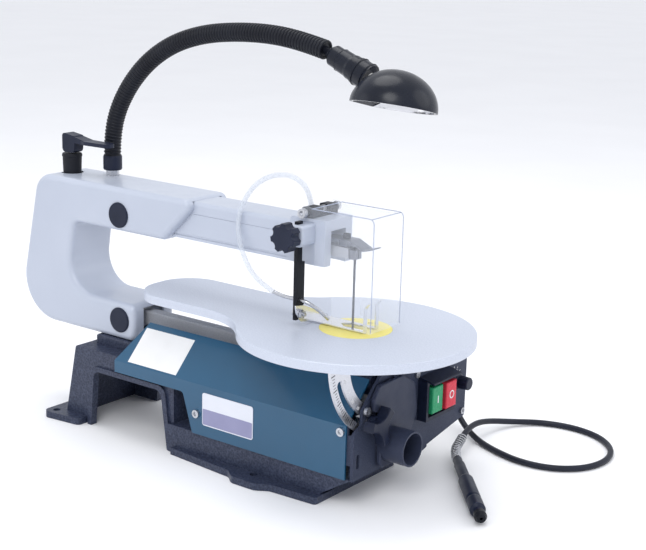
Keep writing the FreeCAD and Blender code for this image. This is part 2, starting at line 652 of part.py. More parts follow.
def tension_rod():
    z0 = ARM_Z_LOW + 5.5
    spindle = rod(2, V(ROD_X, 0, z0), UP, 10)
    spindle = spindle.fuse(rod(3, V(ROD_X, 0, ARM_Z_LOW + 12), UP, LEVER_Z - ARM_Z_LOW - 12 + 3))
    eye = rod(5.5, V(LEVER_X, -3, LEVER_Z), SIDE, 6)
    return spindle.fuse(eye).cut(rod(2.5 + RUN_FIT, V(LEVER_X, -5, LEVER_Z), SIDE, 10)).removeSplitter()


def tension_knob():
    return turned([(3.0, 0), (10.8, 0), (11.0, 7), (11.6, 26), (12.2, 27), (12.2, 29), (11.2, 30.5), (3.0, 30.5)],
                  V(ROD_X, 0, FRAME_TOP - 7), UP)


def tension_lever():
    x = LEVER_X
    z = LEVER_Z
    head = plate_xz([(x - 8, z - 10.5, 5), (x - 8, z + 13, 4), (x + 14, z + 10, 3), (x + 12, z - 10.5, 5)],
                    -7.5, 7.5)
    bridge = plate_xz([(x + 4, z + 11, 0), (x + 30, z + 6, 0), (x + 30, z + 1, 0), (x + 4, z + 2, 0)], -7.5, 7.5)
    paddle = plate_xy([(x + 24, -8, 3), (x + 32, -10, 4), (x + 70, -8, 6), (x + 70, 6, 6), (x + 24, 8, 3)],
                      z + 1.5, z + 6)
    body = head.fuse([bridge, paddle])
    body = body.cut(box(LEVER_X - 12, LEVER_X + 7, -3.3, 3.3, LEVER_Z - 12, LEVER_Z + 7))
    body = body.cut(rod(2.5, V(LEVER_X, -9, LEVER_Z), SIDE, 18))
    pin = rod(2.5, V(LEVER_X, -7.4, LEVER_Z), SIDE, 14.8)
    return body.removeSplitter(), pin


def lower_blade_clamp():
    z = ARM_Z_LOW
    tongue = box(CLAMP_X - 6, 3, -3.3, 3.3, z - 5, z + 5)
    jaw = box(-3.5, 4, -5, 5, z - 5, z + 9)
    body = tongue.fuse(jaw).cut(rod(2.5 + RUN_FIT, V(CLAMP_X, -6, z), SIDE, 12))
    return body.cut(box(-1.6, 4.1, -0.35, 0.35, z - 6, z + 10)).removeSplitter()


def upper_blade_clamp():
    z = ARM_Z_UP
    tongue = box(CLAMP_X - 6, CLAMP_X + 7, -3.3, 3.3, z - 4, z + 5)
    block = box(CLAMP_X - 7, CLAMP_X + 5, -6, 6, z + 6.5, z + 13)
    stem = box(CLAMP_X - 3, CLAMP_X + 3, -3.3, 3.3, z + 4, z + 7)
    jaw = box(-3.4, 4.5, -5.5, 5.5, z - 6, z + 4)
    body = tongue.fuse([block, stem, jaw]).cut(rod(2.5 + RUN_FIT, V(CLAMP_X, -8, z), SIDE, 16))
    body = body.cut(box(-1.6 - GAP, 5, -0.7, 0.7, z - 8, z + 5.5))
    spring = plate_xz([(-34, z + 13, 0), (-34, z + 14.2, 0), (-1, z + 14.2, 3), (16, z + 6.5, 3), (26, z + 9.0, 0),
                       (26, z + 7.8, 0), (16, z + 5.3, 3), (-1.6, z + 13, 3)], -9, 9)
    body = body.fuse(spring)
    return body.cut(rod(2.2, V(CLAMP_X - 1, 0, z + 5.5), UP, 12)).removeSplitter()


def blade():
    z0 = ARM_Z_LOW - 2
    z1 = ARM_Z_UP + 3
    strip = box(-1.3, 1.5, -0.3, 0.3, z0, z1)
    teeth = []
    z = ARM_Z_LOW + 14
    while z < ARM_Z_UP - 14:
        notch = plate_xz([(0.8, z + 0.9, 0), (1.6, z, 0), (1.6, z + 1.6, 0)], -1, 1)
        teeth.append(notch)
        z += 2.5
    strip = strip.cut(Part.makeCompound(teeth))
    pin = rod(0.8, V(0.1, -4, ARM_Z_UP + 5), SIDE, 8)
    strip = strip.fuse([box(-1.3, 1.5, -0.3, 0.3, z1 - 1, ARM_Z_UP + 6.2), pin])
    return strip.removeSplitter()


# ---------------------------------------------------------------- table
def table_outline(inset):
    """Round front run into a straight neck by two hollow curves, round tail."""
    r = TABLE_R - inset
    neck = NECK_HALF - inset
    fil = NECK_FILLET + inset
    dx = math.sqrt((r + fil) ** 2 - (neck + fil) ** 2)
    fx = TABLE_CX - dx
    fy = neck + fil
    k = r / (r + fil)
    touch = V(TABLE_CX - dx * k, fy * k, 0)
    mid_angle = (math.atan2(touch.y - fy, touch.x - fx) - math.pi / 2) / 2
    mid = V(fx + fil * math.cos(mid_angle), fy + fil * math.sin(mid_angle), 0)
    tail = TABLE_CX + TABLE_R - TABLE_LEN + inset
    tail_r = TAIL_R - inset
    edges = [Part.Arc(touch, V(TABLE_CX + r, 0, 0), V(touch.x, -touch.y, 0)).toShape(),
             Part.Arc(V(touch.x, -touch.y, 0), V(mid.x, -mid.y, 0), V(fx, -neck, 0)).toShape(),
             Part.LineSegment(V(fx, -neck, 0), V(tail + tail_r, -neck, 0)).toShape()]
    diag = tail_r * (1 - math.sqrt(0.5))
    side = neck - tail_r
    edges.append(Part.Arc(V(tail + tail_r, -neck, 0), V(tail + diag, -neck + diag, 0),
                          V(tail, -side, 0)).toShape())
    if side > 0.01:
        edges.append(Part.LineSegment(V(tail, -side, 0), V(tail, side, 0)).toShape())
    edges.append(Part.Arc(V(tail, side, 0), V(tail + diag, neck - diag, 0), V(tail + tail_r, neck, 0)).toShape())
    edges.append(Part.LineSegment(V(tail + tail_r, neck, 0), V(fx, neck, 0)).toShape())
    edges.append(Part.Arc(V(fx, neck, 0), mid, touch).toShape())
    return Part.Wire(edges)


def table():
    slab = Part.Face(table_outline(0)).extrude(V(0, 0, -TABLE_T))
    slab = soften(slab, 1.2, lambda p: p.z > -0.01)
    pocket = Part.Face(table_outline(7)).extrude(V(0, 0, -TABLE_T))
    pocket.translate(V(0, 0, -5))
    keep = [rod(INSERT_R + 6, V(INSERT_X, 0, -TABLE_T - 6), UP, 20),
            box(TRUNNION_X0 - 6, BRACKET_X + 3, -112, 60, -TABLE_T - 6, 10),
            box(-300, 140, -3, 3, -TABLE_T - 6, 10), box(-104, -98, -90, 90, -TABLE_T - 6, 10),
            box(-190, -184, -60, 60, -TABLE_T - 6, 10)]
    for piece in keep:
        pocket = pocket.cut(piece)
    slab = slab.cut(pocket)
    slab = slab.cut(rod(INSERT_R + 0.2, V(INSERT_X, 0, -INSERT_T), UP, 5))
    return slab.cut(rod(INSERT_R - 4, V(INSERT_X, 0, -20), UP, 30)).removeSplitter()


def table_insert():
    disc = rod(INSERT_R, V(INSERT_X, 0, -INSERT_T), UP, INSERT_T)
    slot = plate_xy([(-12, -5.5, 3), (16, -5.5, 3), (16, 5.5, 3), (-12, 5.5, 3)], -5, 5)
    return disc.cut(slot).cut(rod(3, V(INSERT_X, 27, -5), UP, 10))


def on_tilt_circle(radius, degrees, x):
    a = math.radians(degrees)
    return V(x, radius * math.cos(a), TILT_Z + radius * math.sin(a))


def lock_centre():
    return on_tilt_circle(LOCK_R, LOCK_ANGLE, BRACKET_X)


def tilt_scale():
    """Crescent plate under the table; its slot runs on the lock bolt's circle."""
    x = SCALE_X
    top = -TABLE_T
    start = 180 + math.degrees(math.asin((-top + TILT_Z) / SCALE_R))
    a0 = on_tilt_circle(SCALE_R, start, x)
    a1 = on_tilt_circle(SCALE_R, 218, x)
    a2 = on_tilt_circle(SCALE_R, LOCK_ANGLE + 11, x)
    b2 = V(x, -18, -72)
    b1 = V(x, -50, -56)
    b0 = V(x, -68, top)
    edges = [Part.Arc(a0, a1, a2).toShape(), Part.LineSegment(a2, b2).toShape(), Part.Arc(b2, b1, b0).toShape(),
             Part.LineSegment(b0, a0).toShape()]
    plate = Part.Face(Part.Wire(edges)).extrude(V(SCALE_T, 0, 0))
    inner = LOCK_R - LOCK_BOLT_R - GAP
    outer = LOCK_R + LOCK_BOLT_R + GAP
    first = LOCK_ANGLE - TILT_MAX - 1
    last = LOCK_ANGLE + 1
    middle = (first + last) / 2
    ends = [Part.Arc(on_tilt_circle(outer, first, x), on_tilt_circle(outer, middle, x),
                     on_tilt_circle(outer, last, x)).toShape(),
            Part.LineSegment(on_tilt_circle(outer, last, x), on_tilt_circle(inner, last, x)).toShape(),
            Part.Arc(on_tilt_circle(inner, last, x), on_tilt_circle(inner, middle, x),
                     on_tilt_circle(inner, first, x)).toShape(),
            Part.LineSegment(on_tilt_circle(inner, first, x), on_tilt_circle(outer, first, x)).toShape()]
    slot = Part.Face(Part.Wire(ends)).extrude(V(SCALE_T, 0, 0))
    slot = slot.fuse([rod(LOCK_BOLT_R + GAP, on_tilt_circle(LOCK_R, a, x), FWD, SCALE_T) for a in (first, last)])
    return plate.cut(slot)


def table_trunnion():
    """Half disc under the table that rocks in the seat about the tilt axis."""
    length = TRUNNION_X1 - TRUNNION_X0
    disc = rod(TRUNNION_R, V(TRUNNION_X0, 0, TILT_Z), FWD, length)
    disc = disc.cut(box(TRUNNION_X0 - 1, TRUNNION_X1 + 1, -60, 60, -TABLE_T, 60))
    return disc.cut(rod(TRUNNION_R - 14, V(TRUNNION_X0 - 1, 0, TILT_Z), FWD, length - 6))


def trunnion_seat():
    x0 = TRUNNION_X0
    x1 = TRUNNION_X1
    block = plate_yz([(-22, -62, 3), (-24, -42, 2), (30, -22, 3), (34, -62, 3)], x0, x1)
    block = block.cut(rod(TRUNNION_R + 0.1, V(x0 - 1, 0, TILT_Z), FWD, x1 - x0 + 2))
    leg = box(x0, x0 + 8, 8, 34, DECK_Z, -60)
    foot = box(x0 - 2, x1 - 1, 8, 40, DECK_Z, DECK_Z + 6)
    nose = box(x1, BRACKET_X, 4, 30, -60, -48)
    return block.fuse([leg, foot, nose]).removeSplitter()


def lock_bolt():
    lock = lock_centre()
    head = box(TRUNNION_X1 - 4, SCALE_X - 0.6, lock.y - 6, lock.y + 6, lock.z - 6, lock.z + 6)
    shank = rod(LOCK_BOLT_R, V(SCALE_X - 0.6, lock.y, lock.z), FWD, 26)
    washer = ring(8, LOCK_BOLT_R, V(PANEL_X + 0.2, lock.y, lock.z), FWD, 1.6)
    return head.fuse(shank), washer


def lock_knob():
    lock = lock_centre()
    knob_x = PANEL_X + 8
    body = star(3, 21, 8.5, V(knob_x, lock.y, lock.z), FWD, 12, spin=78)
    hub = rod(9.5, V(PANEL_X + 2.5, lock.y, lock.z), FWD, 8)
    body = body.fuse(hub)
    bore = rod(LOCK_BOLT_R + RUN_FIT, V(PANEL_X, lock.y, lock.z), FWD, 18)
    return body.cut(bore).removeSplitter()


# ---------------------------------------------------------------- head fittings
def hold_down_bar():
    bar = box(BAR_X - BAR_T / 2, BAR_X + BAR_T / 2, BAR_Y0, BAR_Y1, FOOT_PIVOT_Z - 7, KNOB_Z + 14)
    notch = plate_yz([(-33, FOOT_PIVOT_Z - 8, 0), (-33, FOOT_PIVOT_Z + 4, 1), (-28, FOOT_PIVOT_Z + 9, 0),
                      (-20, FOOT_PIVOT_Z + 9, 0), (-20, FOOT_PIVOT_Z - 8, 0)], BAR_X - 5, BAR_X + 5)
    bar = bar.cut(notch).cut(box(BAR_X - 5, BAR_X + 5, -33.2, -20, 70, 130))
    bar = bar.cut(rod(2.0, V(BAR_X - 5, FOOT_PIVOT_Y, FOOT_PIVOT_Z), FWD, 10))
    return bar.cut(rod(TUBE_R + 0.05, V(BAR_X - 5, TUBE_Y, TUBE_Z), FWD, 10))


def foot_face():
    return BAR_X + BAR_T / 2 + 0.05


def hold_down_foot():
    """Upright quarter-round cheek, forked sole round the blade, two finger rods."""
    x0 = foot_face()
    x1 = x0 + 1.5
    low = 0.5
    centre = V(x0, -20, 24.5)
    r = centre.z - low
    back = V(x0, centre.y - r, centre.z)
    bow = V(x0, centre.y - r * math.sqrt(0.5), centre.z - r * math.sqrt(0.5))
    arc = Part.Arc(back, bow, V(x0, centre.y, low)).toShape()
    corners = [V(x0, centre.y, low), V(x0, 13, low), V(x0, 13, 4), V(x0, -30, 22.5), back]
    lines = [Part.LineSegment(corners[k], corners[k + 1]).toShape() for k in range(4)]
    cheek = Part.Face(Part.Wire([arc] + lines)).extrude(V(1.5, 0, 0))
    cheek = cheek.cut(rod(2.05, V(x0 - 1, FOOT_PIVOT_Y, FOOT_PIVOT_Z), FWD, 5))
    sole = plate_xy([(x0, -13, 0), (24, -13, 2), (24, 13, 2), (x0, 13, 0)], low, low + 1.5)
    window = plate_xy([(-16, 0, 2), (-6, -8, 2), (30, -8, 0), (30, 8, 0), (-6, 8, 2)], low - 1, low + 3)
    sole = sole.cut(window)
    body = cheek.fuse(sole)
    for s in (-1, 1):
        post = box(22.5, 24, s * 10.5 - 2.5, s * 10.5 + 2.5, low, 27)
        tip = plate_xz([(22.5, 27, 0), (24, 27, 0), (27.5, 32, 0), (26, 32.6, 0)], s * 10.5 - 2.5, s * 10.5 + 2.5)
        body = body.fuse([post, tip])
    return body.removeSplitter()


def foot_screw():
    out = foot_face() + 1.5 + 0.05
    at = V(out, FOOT_PIVOT_Y, FOOT_PIVOT_Z)
    washer = ring(5, 2.0, at, FWD, 1.2)
    nut = hexagon(8, at + FWD * 1.3, FWD, 3.4).cut(rod(2.0, at, FWD, 8))
    shank = rod(2.0, V(BAR_X - BAR_T / 2 - 0.1, FOOT_PIVOT_Y, FOOT_PIVOT_Z), FWD, out + 7.5 - BAR_X + BAR_T / 2)
    head = rod(3.6, V(BAR_X - BAR_T / 2 - 2.9, FOOT_PIVOT_Y, FOOT_PIVOT_Z), FWD, 2.8)
    return shank.fuse(head), washer, nut


def hold_down_knob():
    face_y = -53.0
    body = star(7, 15.5, 12.5, V(BAR_X, face_y, KNOB_Z), V(0, -1, 0), 13, spin=10)
    hub = rod(7, V(BAR_X, face_y, KNOB_Z), SIDE, 4.5)
    screw = rod(3.0, V(BAR_X, face_y, KNOB_Z), SIDE, BAR_Y0 - face_y - 0.1)
    return body.fuse([hub, screw]).removeSplitter()


def blower_tube():
    return tube_along([V(-80, TUBE_Y, 31.5), V(-66, TUBE_Y, TUBE_Z), V(-36, TUBE_Y, TUBE_Z), V(-25, -27, 20),
                       V(-18, -19, 9.5)], TUBE_R, 1.2)


def air_hose():
    """Clear hose from the head's nipple, up and back, down to the blower tube."""
    points = [V(-60, 3, HEAD_TOP + 0.3), V(-62, 2, 136), V(-76, -3, 152), V(-98, -9, 154), V(-120, -17, 143),
              V(-133, -24, 122), V(-137, -29, 98), V(-131, -31.5, 74), V(-118, -33.5, 53), V(-101, -35, 39),
              V(-80.3, TUBE_Y, 31.6)]
    return tube_along(points, HOSE_R)


def air_bellows():
    x = -100
    rings = []
    for k in range(3):
        rings.append(turned([(0, 0), (9, 0), (12, 1.2), (9, 2.4), (0, 2.4)], V(x, 0, 98.6 + 2.4 * k), UP))
    return rings[0].fuse(rings[1:] + [rod(4, V(x, 0, 105), UP, 1)]).removeSplitter()


def blade_guard():
    """Clear box open at the back and below, with two ears on the cross bolt."""
    h = GUARD_HALF
    t = GUARD_T
    side = [(-32.8, 113, 3), (-32.8, 56, 8), (-32, 50, 6), (-10, 40, 8), (-8.5, GUARD_FLOOR, 1),
            (GUARD_FRONT, GUARD_FLOOR, 1), (GUARD_FRONT, GUARD_TOP, 5), (-38, GUARD_TOP, 0), (-48, HINGE_Z + 8, 3),
            (-55, HINGE_Z, 4), (-52, 113, 3)]
    block = plate_xz(side, -h, h)
    top_block = box(-38, GUARD_FRONT, -h, h, GUARD_FLOOR, GUARD_TOP)
    walls = block.cut(box(-80, GUARD_FRONT - t, -h + t, h - t, -10, GUARD_TOP - t))
    walls = walls.cut(box(-80, -38, -h + t, h - t, -10, 200))
    walls = walls.common(top_block.fuse(box(-80, -37, -h, h, 100, 160)))
    return walls.cut(rod(HINGE_R + RUN_FIT, V(HINGE_X, -50, HINGE_Z), SIDE, 100)).removeSplitter()


def guard_bracket():
    block = box(HINGE_X - 7, HINGE_X + 7, -22, 22, HEAD_TOP, HINGE_Z + 5)
    block = soften(block, 1.5, lambda p: p.z > HINGE_Z + 4.99)
    block = block.cut(box(HINGE_X - 8, HINGE_X + 8, -4, 8, HINGE_Z - 4.7, HINGE_Z + 6))
    return block.cut(rod(HINGE_R, V(HINGE_X, -30, HINGE_Z), SIDE, 60))


def guard_bolt():
    reach = GUARD_HALF + 0.6
    bolt = cap_screw(5.2, 5, HINGE_R, 2 * reach + 6, V(HINGE_X, -reach, HINGE_Z), V(0, -1, 0))
    nut = hexagon(9, V(HINGE_X, reach, HINGE_Z), SIDE, 4).cut(rod(HINGE_R, V(HINGE_X, reach, HINGE_Z), SIDE, 8))
    coil = [ring(4.3, HINGE_R + GAP, V(HINGE_X, y, HINGE_Z), SIDE, 1.2) for y in (-3.0, -0.8, 1.4, 3.6, 5.8)]
    return [bolt, nut] + coil


# ---------------------------------------------------------------- lamp
def lamp_nut():
    at = V(LAMP_X, LAMP_Y, FRAME_TOP)
    stud = rod(4, at - UP * 12, UP, 16)
    nut = hexagon(14, at + UP * 0.05, UP, 6.5)
    return nut.fuse(stud)


def lamp_collar():
    at = V(LAMP_X, LAMP_Y, FRAME_TOP + 6.8)
    return turned([(0, 0), (10.6, 0), (11.4, 1.5), (11.4, 16), (10.7, 17.5), (0, 17.5)], at, UP)


def lamp_gooseneck():
    base = FRAME_TOP + 24.4
    points = [V(LAMP_X, LAMP_Y, base), V(LAMP_X, LAMP_Y, 158), V(-368, 19.5, 191), V(-345, 18, 225), V(-313, 16.5, 255),
              V(-272, 14.5, 278), V(-224, 12, 292), V(-172, 9, 298), V(-120, 6, 299), V(-76, 4, 294),
              NECK_END - NECK_DIR * (BALL_R + 1)]
    stem = rod(BALL_R - 2.5, NECK_END - NECK_DIR * (BALL_R + 4), NECK_DIR, BALL_R)
    ball = Part.makeSphere(BALL_R, NECK_END)
    return tube_along(points, NECK_R).fuse([stem, ball]).removeSplitter()


def lamp_neck():
    profile = [(0, 0), (9.3, 0), (11.2, 2.4), (11.2, 13), (12.1, 13.5), (12.3, 25), (13.2, 28), (13.2, 34),
               (14.3, 35), (14.3, 52), (0, 52)]
    return turned(profile, NECK_END, NECK_DIR).cut(Part.makeSphere(BALL_R + RUN_FIT, NECK_END))


def bowl_curve(radius, height):
    points = []
    for k in range(9):
        angle = math.radians(85.0 * k / 8)
        points.append(V(radius * math.cos(angle), 0, height * math.sin(angle)))
    curve = Part.BSplineCurve()
    curve.interpolate(points)
    return curve.toShape(), points[0], points[-1]


def revolved(curves, corners):
    """Face between curves and the lines through the corners, turned about Z."""
    lines = [Part.LineSegment(a, b).toShape() for a, b in zip(corners, corners[1:])]
    face = Part.Face(Part.Wire(Part.__sortEdges__(curves + lines)))
    return face.revolve(V(0, 0, 0), UP, 360)


def filled_bowl(radius, height):
    curve, rim, top = bowl_curve(radius, height)
    return revolved([curve], [top, V(0, 0, top.z), V(0, 0, 0), rim])


def bowl(radius, height, wall):
    """Open half-ellipsoid shell, mouth down, with a small flat on top."""
    return filled_bowl(radius, height).cut(filled_bowl(radius - wall, height - wall))


def lean(shape):
    """The head looks down and a little towards the user's left."""
    shape.rotate(V(0, 0, 0), FWD, -13)
    shape.translate(SHADE_AT)
    return shape


def slanted(x0, x1, half, z0, z1):
    """Block turned to the slope of the hood's back."""
    block = box(x0, x1, -half, half, z0, z1)
    block.rotate(V(-SHADE_R, 0, 0), SIDE, HOOD_SLOPE)
    return block


def lamp_head():
    neck_hole = turned([(0, 0), (14.6, 0), (14.6, 67), (0, 67)], NECK_END, NECK_DIR)
    cutter = slanted(-90, -SHADE_R, 60, -60, 80)
    shade = bowl(SHADE_R + 4, SHADE_H, 2).cut(cutter)
    lid = slanted(-SHADE_R, -SHADE_R + 2, 60, -60, 80)
    shade = shade.fuse(lid.common(filled_bowl(SHADE_R + 3, SHADE_H - 1))).removeSplitter()
    shade = lean(shade).cut(neck_hole)
    reflector = bowl(SHADE_R + 1.7, SHADE_H - 2.3, 1).cut(slanted(-90, -SHADE_R + 2.6, 60, -60, 80))
    reflector = lean(reflector).cut(neck_hole)
    socket = NECK_END + NECK_DIR * 52.1
    bulb = turned([(0, 0), (6, 0), (6.6, 4), (8.4, 9), (8.8, 13), (7.4, 18), (4, 21.5), (0, 22.5)], socket, NECK_DIR)
    return shade, reflector, bulb


# ---------------------------------------------------------------- flexible shaft
def shaft_coupling():
    bore = SHAFT_R + GAP
    profile = [(bore, 0), (15, 0), (15, 8), (12, 10), (12, 20), (5, NOSE), (0, NOSE), (0, 14), (bore, 14)]
    return turned(profile, OUTLET, SIDE)


def flex_shaft():
    rest = BENCH_Z + CORD_R + 0.1
    points = [OUTLET + SIDE * (NOSE + 0.1), V(MOTOR_X, 193, MOTOR_Z), V(-58, 215, -103), V(-35, 226, -122),
              V(-6, 223, -145), V(20, 208, -164), V(50, 192, rest), V(84, 176, rest), V(122, 166, rest),
              V(160, 173, rest), V(187, 199, rest), V(195, 236, rest), V(183, 273, rest), V(153, 300, rest),
              V(114, 308, rest), V(76, 298, rest), V(50, 271, rest + 2), V(38, 238, -162), V(37, 208, -156.3),
              V(41, 180, -156.3), TOOL_TAIL - TOOL_DIR * 27.1 + V(-6, 24, 5), TOOL_TAIL - TOOL_DIR * 27.1,
              TOOL_TAIL - TOOL_DIR * 0.1]
    return tube_along(points, CORD_R)


def handpiece():
    profile = [(0, 0), (5.2, 0), (5.2, 14), (6.2, 15), (6.2, 54), (TOOL_R, 60), (TOOL_R, 108), (7.6, 112),
               (TOOL_R, 116), (TOOL_R, 136), (5.5, 139), (5.5, 146), (0, 146)]
    body = turned(profile, TOOL_TAIL, TOOL_DIR)
    bore = 3 + RUN_FIT
    return body.cut(turned([(0, 132), (bore, 132), (bore, 147), (0, 147)], TOOL_TAIL, TOOL_DIR))


def collet():
    body = turned([(0, 133), (3, 133), (3, 146.3), (6.6, 146.3), (6.8, 153), (4.6, 158), (0, 158)],
                  TOOL_TAIL, TOOL_DIR)
    return body.cut(turned([(0, 148), (1.6, 148), (1.6, 159), (0, 159)], TOOL_TAIL, TOOL_DIR))


# ---------------------------------------------------------------- fasteners
def housing_screws():
    screws = []
    for x, z in COVER_SCREWS:
        screws.append(cap_screw(4.6, 2.6, 2.5, 9, V(x, COVER_Y - 0.05, z), V(0, -1, 0)))
    for y, z in PANEL_SCREWS:
        screws.append(cap_screw(3.8, 2.4, 2.0, 8, V(PANEL_FRONT + 0.05, y, z), FWD))
    y, z = BRACKET_SCREW
    screws.append(cap_screw(5, 4, 2.5, 3, V(PANEL_X + 0.05, y, z), FWD))
    return screws


def cable_gland():
    sleeve = rod(6.4, V(-384, GLAND_Y, GLAND_Z), FWD, 26)
    head = rod(9.5, V(-390, GLAND_Y, GLAND_Z), FWD, 13)
    return sleeve.fuse(head).cut(rod(4, V(-391, GLAND_Y, GLAND_Z), FWD, 34)).removeSplitter()


def main():
    os.makedirs("parts", exist_ok=True)
    print("swing %.3f degrees, crank throw %.3f" % (SWING, THROW))
    save("base_casting", base_casting())
    save("frame_half_left", frame_half(-1))
    save("frame_half_right", frame_half(1))
    save("arm_casting", arm_casting())
    save("arm_side_plate", arm_side_plate())
    pins, caps, bushes = pivot_parts()
    save("pivot_pins", *pins)
    save("pivot_caps", *caps)
    save("pivot_bushes", *bushes)
    save("side_cover", cover_sheet())
    save("tilt_bracket", tilt_bracket())
    save("front_panel", front_panel())
    save("dust_port", dust_port())
    frame, start, stop = switch_parts()
    save("switch_frame", frame)
    save("start_button", start)
    save("stop_button", stop)
    save("speed_knob", speed_knob())
    save("control_board", control_board())
    save("motor_case", motor_case())
    save("motor_shaft", motor_shaft())
    save("connecting_rod", connecting_rod())
    save("lower_arm", lower_arm())
    save("upper_arm", upper_arm())
    save("tension_nut", tension_nut())
    save("tension_rod", tension_rod())
    save("tension_knob", tension_knob())
    save("tension_lever", *tension_lever())
    save("lower_blade_clamp", lower_blade_clamp())
    save("upper_blade_clamp", upper_blade_clamp())
    clamp_top = V(CLAMP_X - 1, 0, ARM_Z_UP + 14.25)
    save("upper_clamp_screw", cap_screw(4, 5, 2.0, 8, clamp_top, UP))
    save("blade", blade())
    save("table", table())
    save("table_insert", table_insert())
    save("tilt_scale", tilt_scale())
    save("table_trunnion", table_trunnion())
    save("trunnion_seat", trunnion_seat())
    save("lock_bolt", *lock_bolt())
    save("lock_knob", lock_knob())
    save("hold_down_bar", hold_down_bar())
    save("hold_down_foot", hold_down_foot())
    save("foot_screw", *foot_screw())
    save("hold_down_knob", hold_down_knob())
    save("blower_tube", blower_tube())
    save("air_hose", air_hose())
    save("air_bellows", air_bellows())
    save("blade_guard", blade_guard())
    save("guard_bracket", guard_bracket())
    save("guard_bolt", *guard_bolt())
    save("lamp_nut", lamp_nut())
    save("lamp_collar", lamp_collar())
    save("lamp_gooseneck", lamp_gooseneck())
    save("lamp_neck", lamp_neck())
    shade, reflector, bulb = lamp_head()
    save("lamp_shade", shade)
    save("lamp_reflector", reflector)
    save("lamp_bulb", bulb)
    save("shaft_coupling", shaft_coupling())
    save("flex_shaft", flex_shaft())
    save("handpiece", handpiece())
    save("collet", collet())
    save("housing_screws", *housing_screws())
    save("cable_gland", cable_gland())


main()
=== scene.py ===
import math

import bmesh
import bpy
from mathutils import Matrix, Vector


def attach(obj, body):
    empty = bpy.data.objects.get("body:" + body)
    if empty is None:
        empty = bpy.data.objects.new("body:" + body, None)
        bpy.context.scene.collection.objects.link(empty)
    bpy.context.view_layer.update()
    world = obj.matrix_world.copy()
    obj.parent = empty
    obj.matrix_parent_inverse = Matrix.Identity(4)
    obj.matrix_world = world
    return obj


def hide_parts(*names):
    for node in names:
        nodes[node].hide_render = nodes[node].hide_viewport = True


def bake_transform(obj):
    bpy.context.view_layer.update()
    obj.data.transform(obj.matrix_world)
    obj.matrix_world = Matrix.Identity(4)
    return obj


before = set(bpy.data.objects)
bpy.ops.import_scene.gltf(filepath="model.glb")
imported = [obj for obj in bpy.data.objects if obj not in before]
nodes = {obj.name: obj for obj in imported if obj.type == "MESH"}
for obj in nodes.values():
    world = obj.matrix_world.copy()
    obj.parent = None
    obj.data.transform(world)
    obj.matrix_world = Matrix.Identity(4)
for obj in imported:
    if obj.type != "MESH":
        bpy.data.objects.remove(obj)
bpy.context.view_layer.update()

# Sizes in metres.  Points of the routes are in millimetres from the blade line
# at the table top, as on the drawing; at() turns them into the model's frame.
BLADE_X = 0.234
TABLE_HEIGHT = 0.175
SHAFT_R = 0.0035
HOSE_R = 0.003
HOSE_BORE_R = 0.0021
MARK_DEPTH = 0.0002        # how far printed marks stand off their plate


def at(x, y, z):
    return Vector((x / 1000 + BLADE_X, y / 1000, z / 1000 + TABLE_HEIGHT))


# ------------------------------------------------------------------ camera
def set_camera():
    azimuth, elevation, roll = (math.radians(a) for a in (36.76, 14.238, 1.533))
    distance, focal, across, down = 1.467263, 1384.438, 352.627, 327.402
    width, height = 646, 550
    back = Vector((math.sin(azimuth) * math.cos(elevation), -math.cos(azimuth) * math.cos(elevation),
                   math.sin(elevation)))
    right = Vector((math.cos(azimuth), math.sin(azimuth), 0))
    up = back.cross(right)
    c, s = math.cos(roll), math.sin(roll)
    rolled_right = right * c + up * s
    rolled_up = up * c - right * s
    target = at(0, 0, 0)
    sideways = (across - width / 2) / focal * distance
    upwards = -(down - height / 2) / focal * distance
    place = target - rolled_right * sideways - rolled_up * upwards + back * distance
    data = bpy.data.cameras.new("camera")
    data.sensor_width = 36
    data.lens = focal / width * 36
    data.clip_start = 0.05
    camera = bpy.data.objects.new("camera", data)
    bpy.context.collection.objects.link(camera)
    turn = Matrix((rolled_right, rolled_up, back)).transposed()
    camera.matrix_world = Matrix.Translation(place) @ turn.to_4x4()
    bpy.context.scene.camera = camera


set_camera()


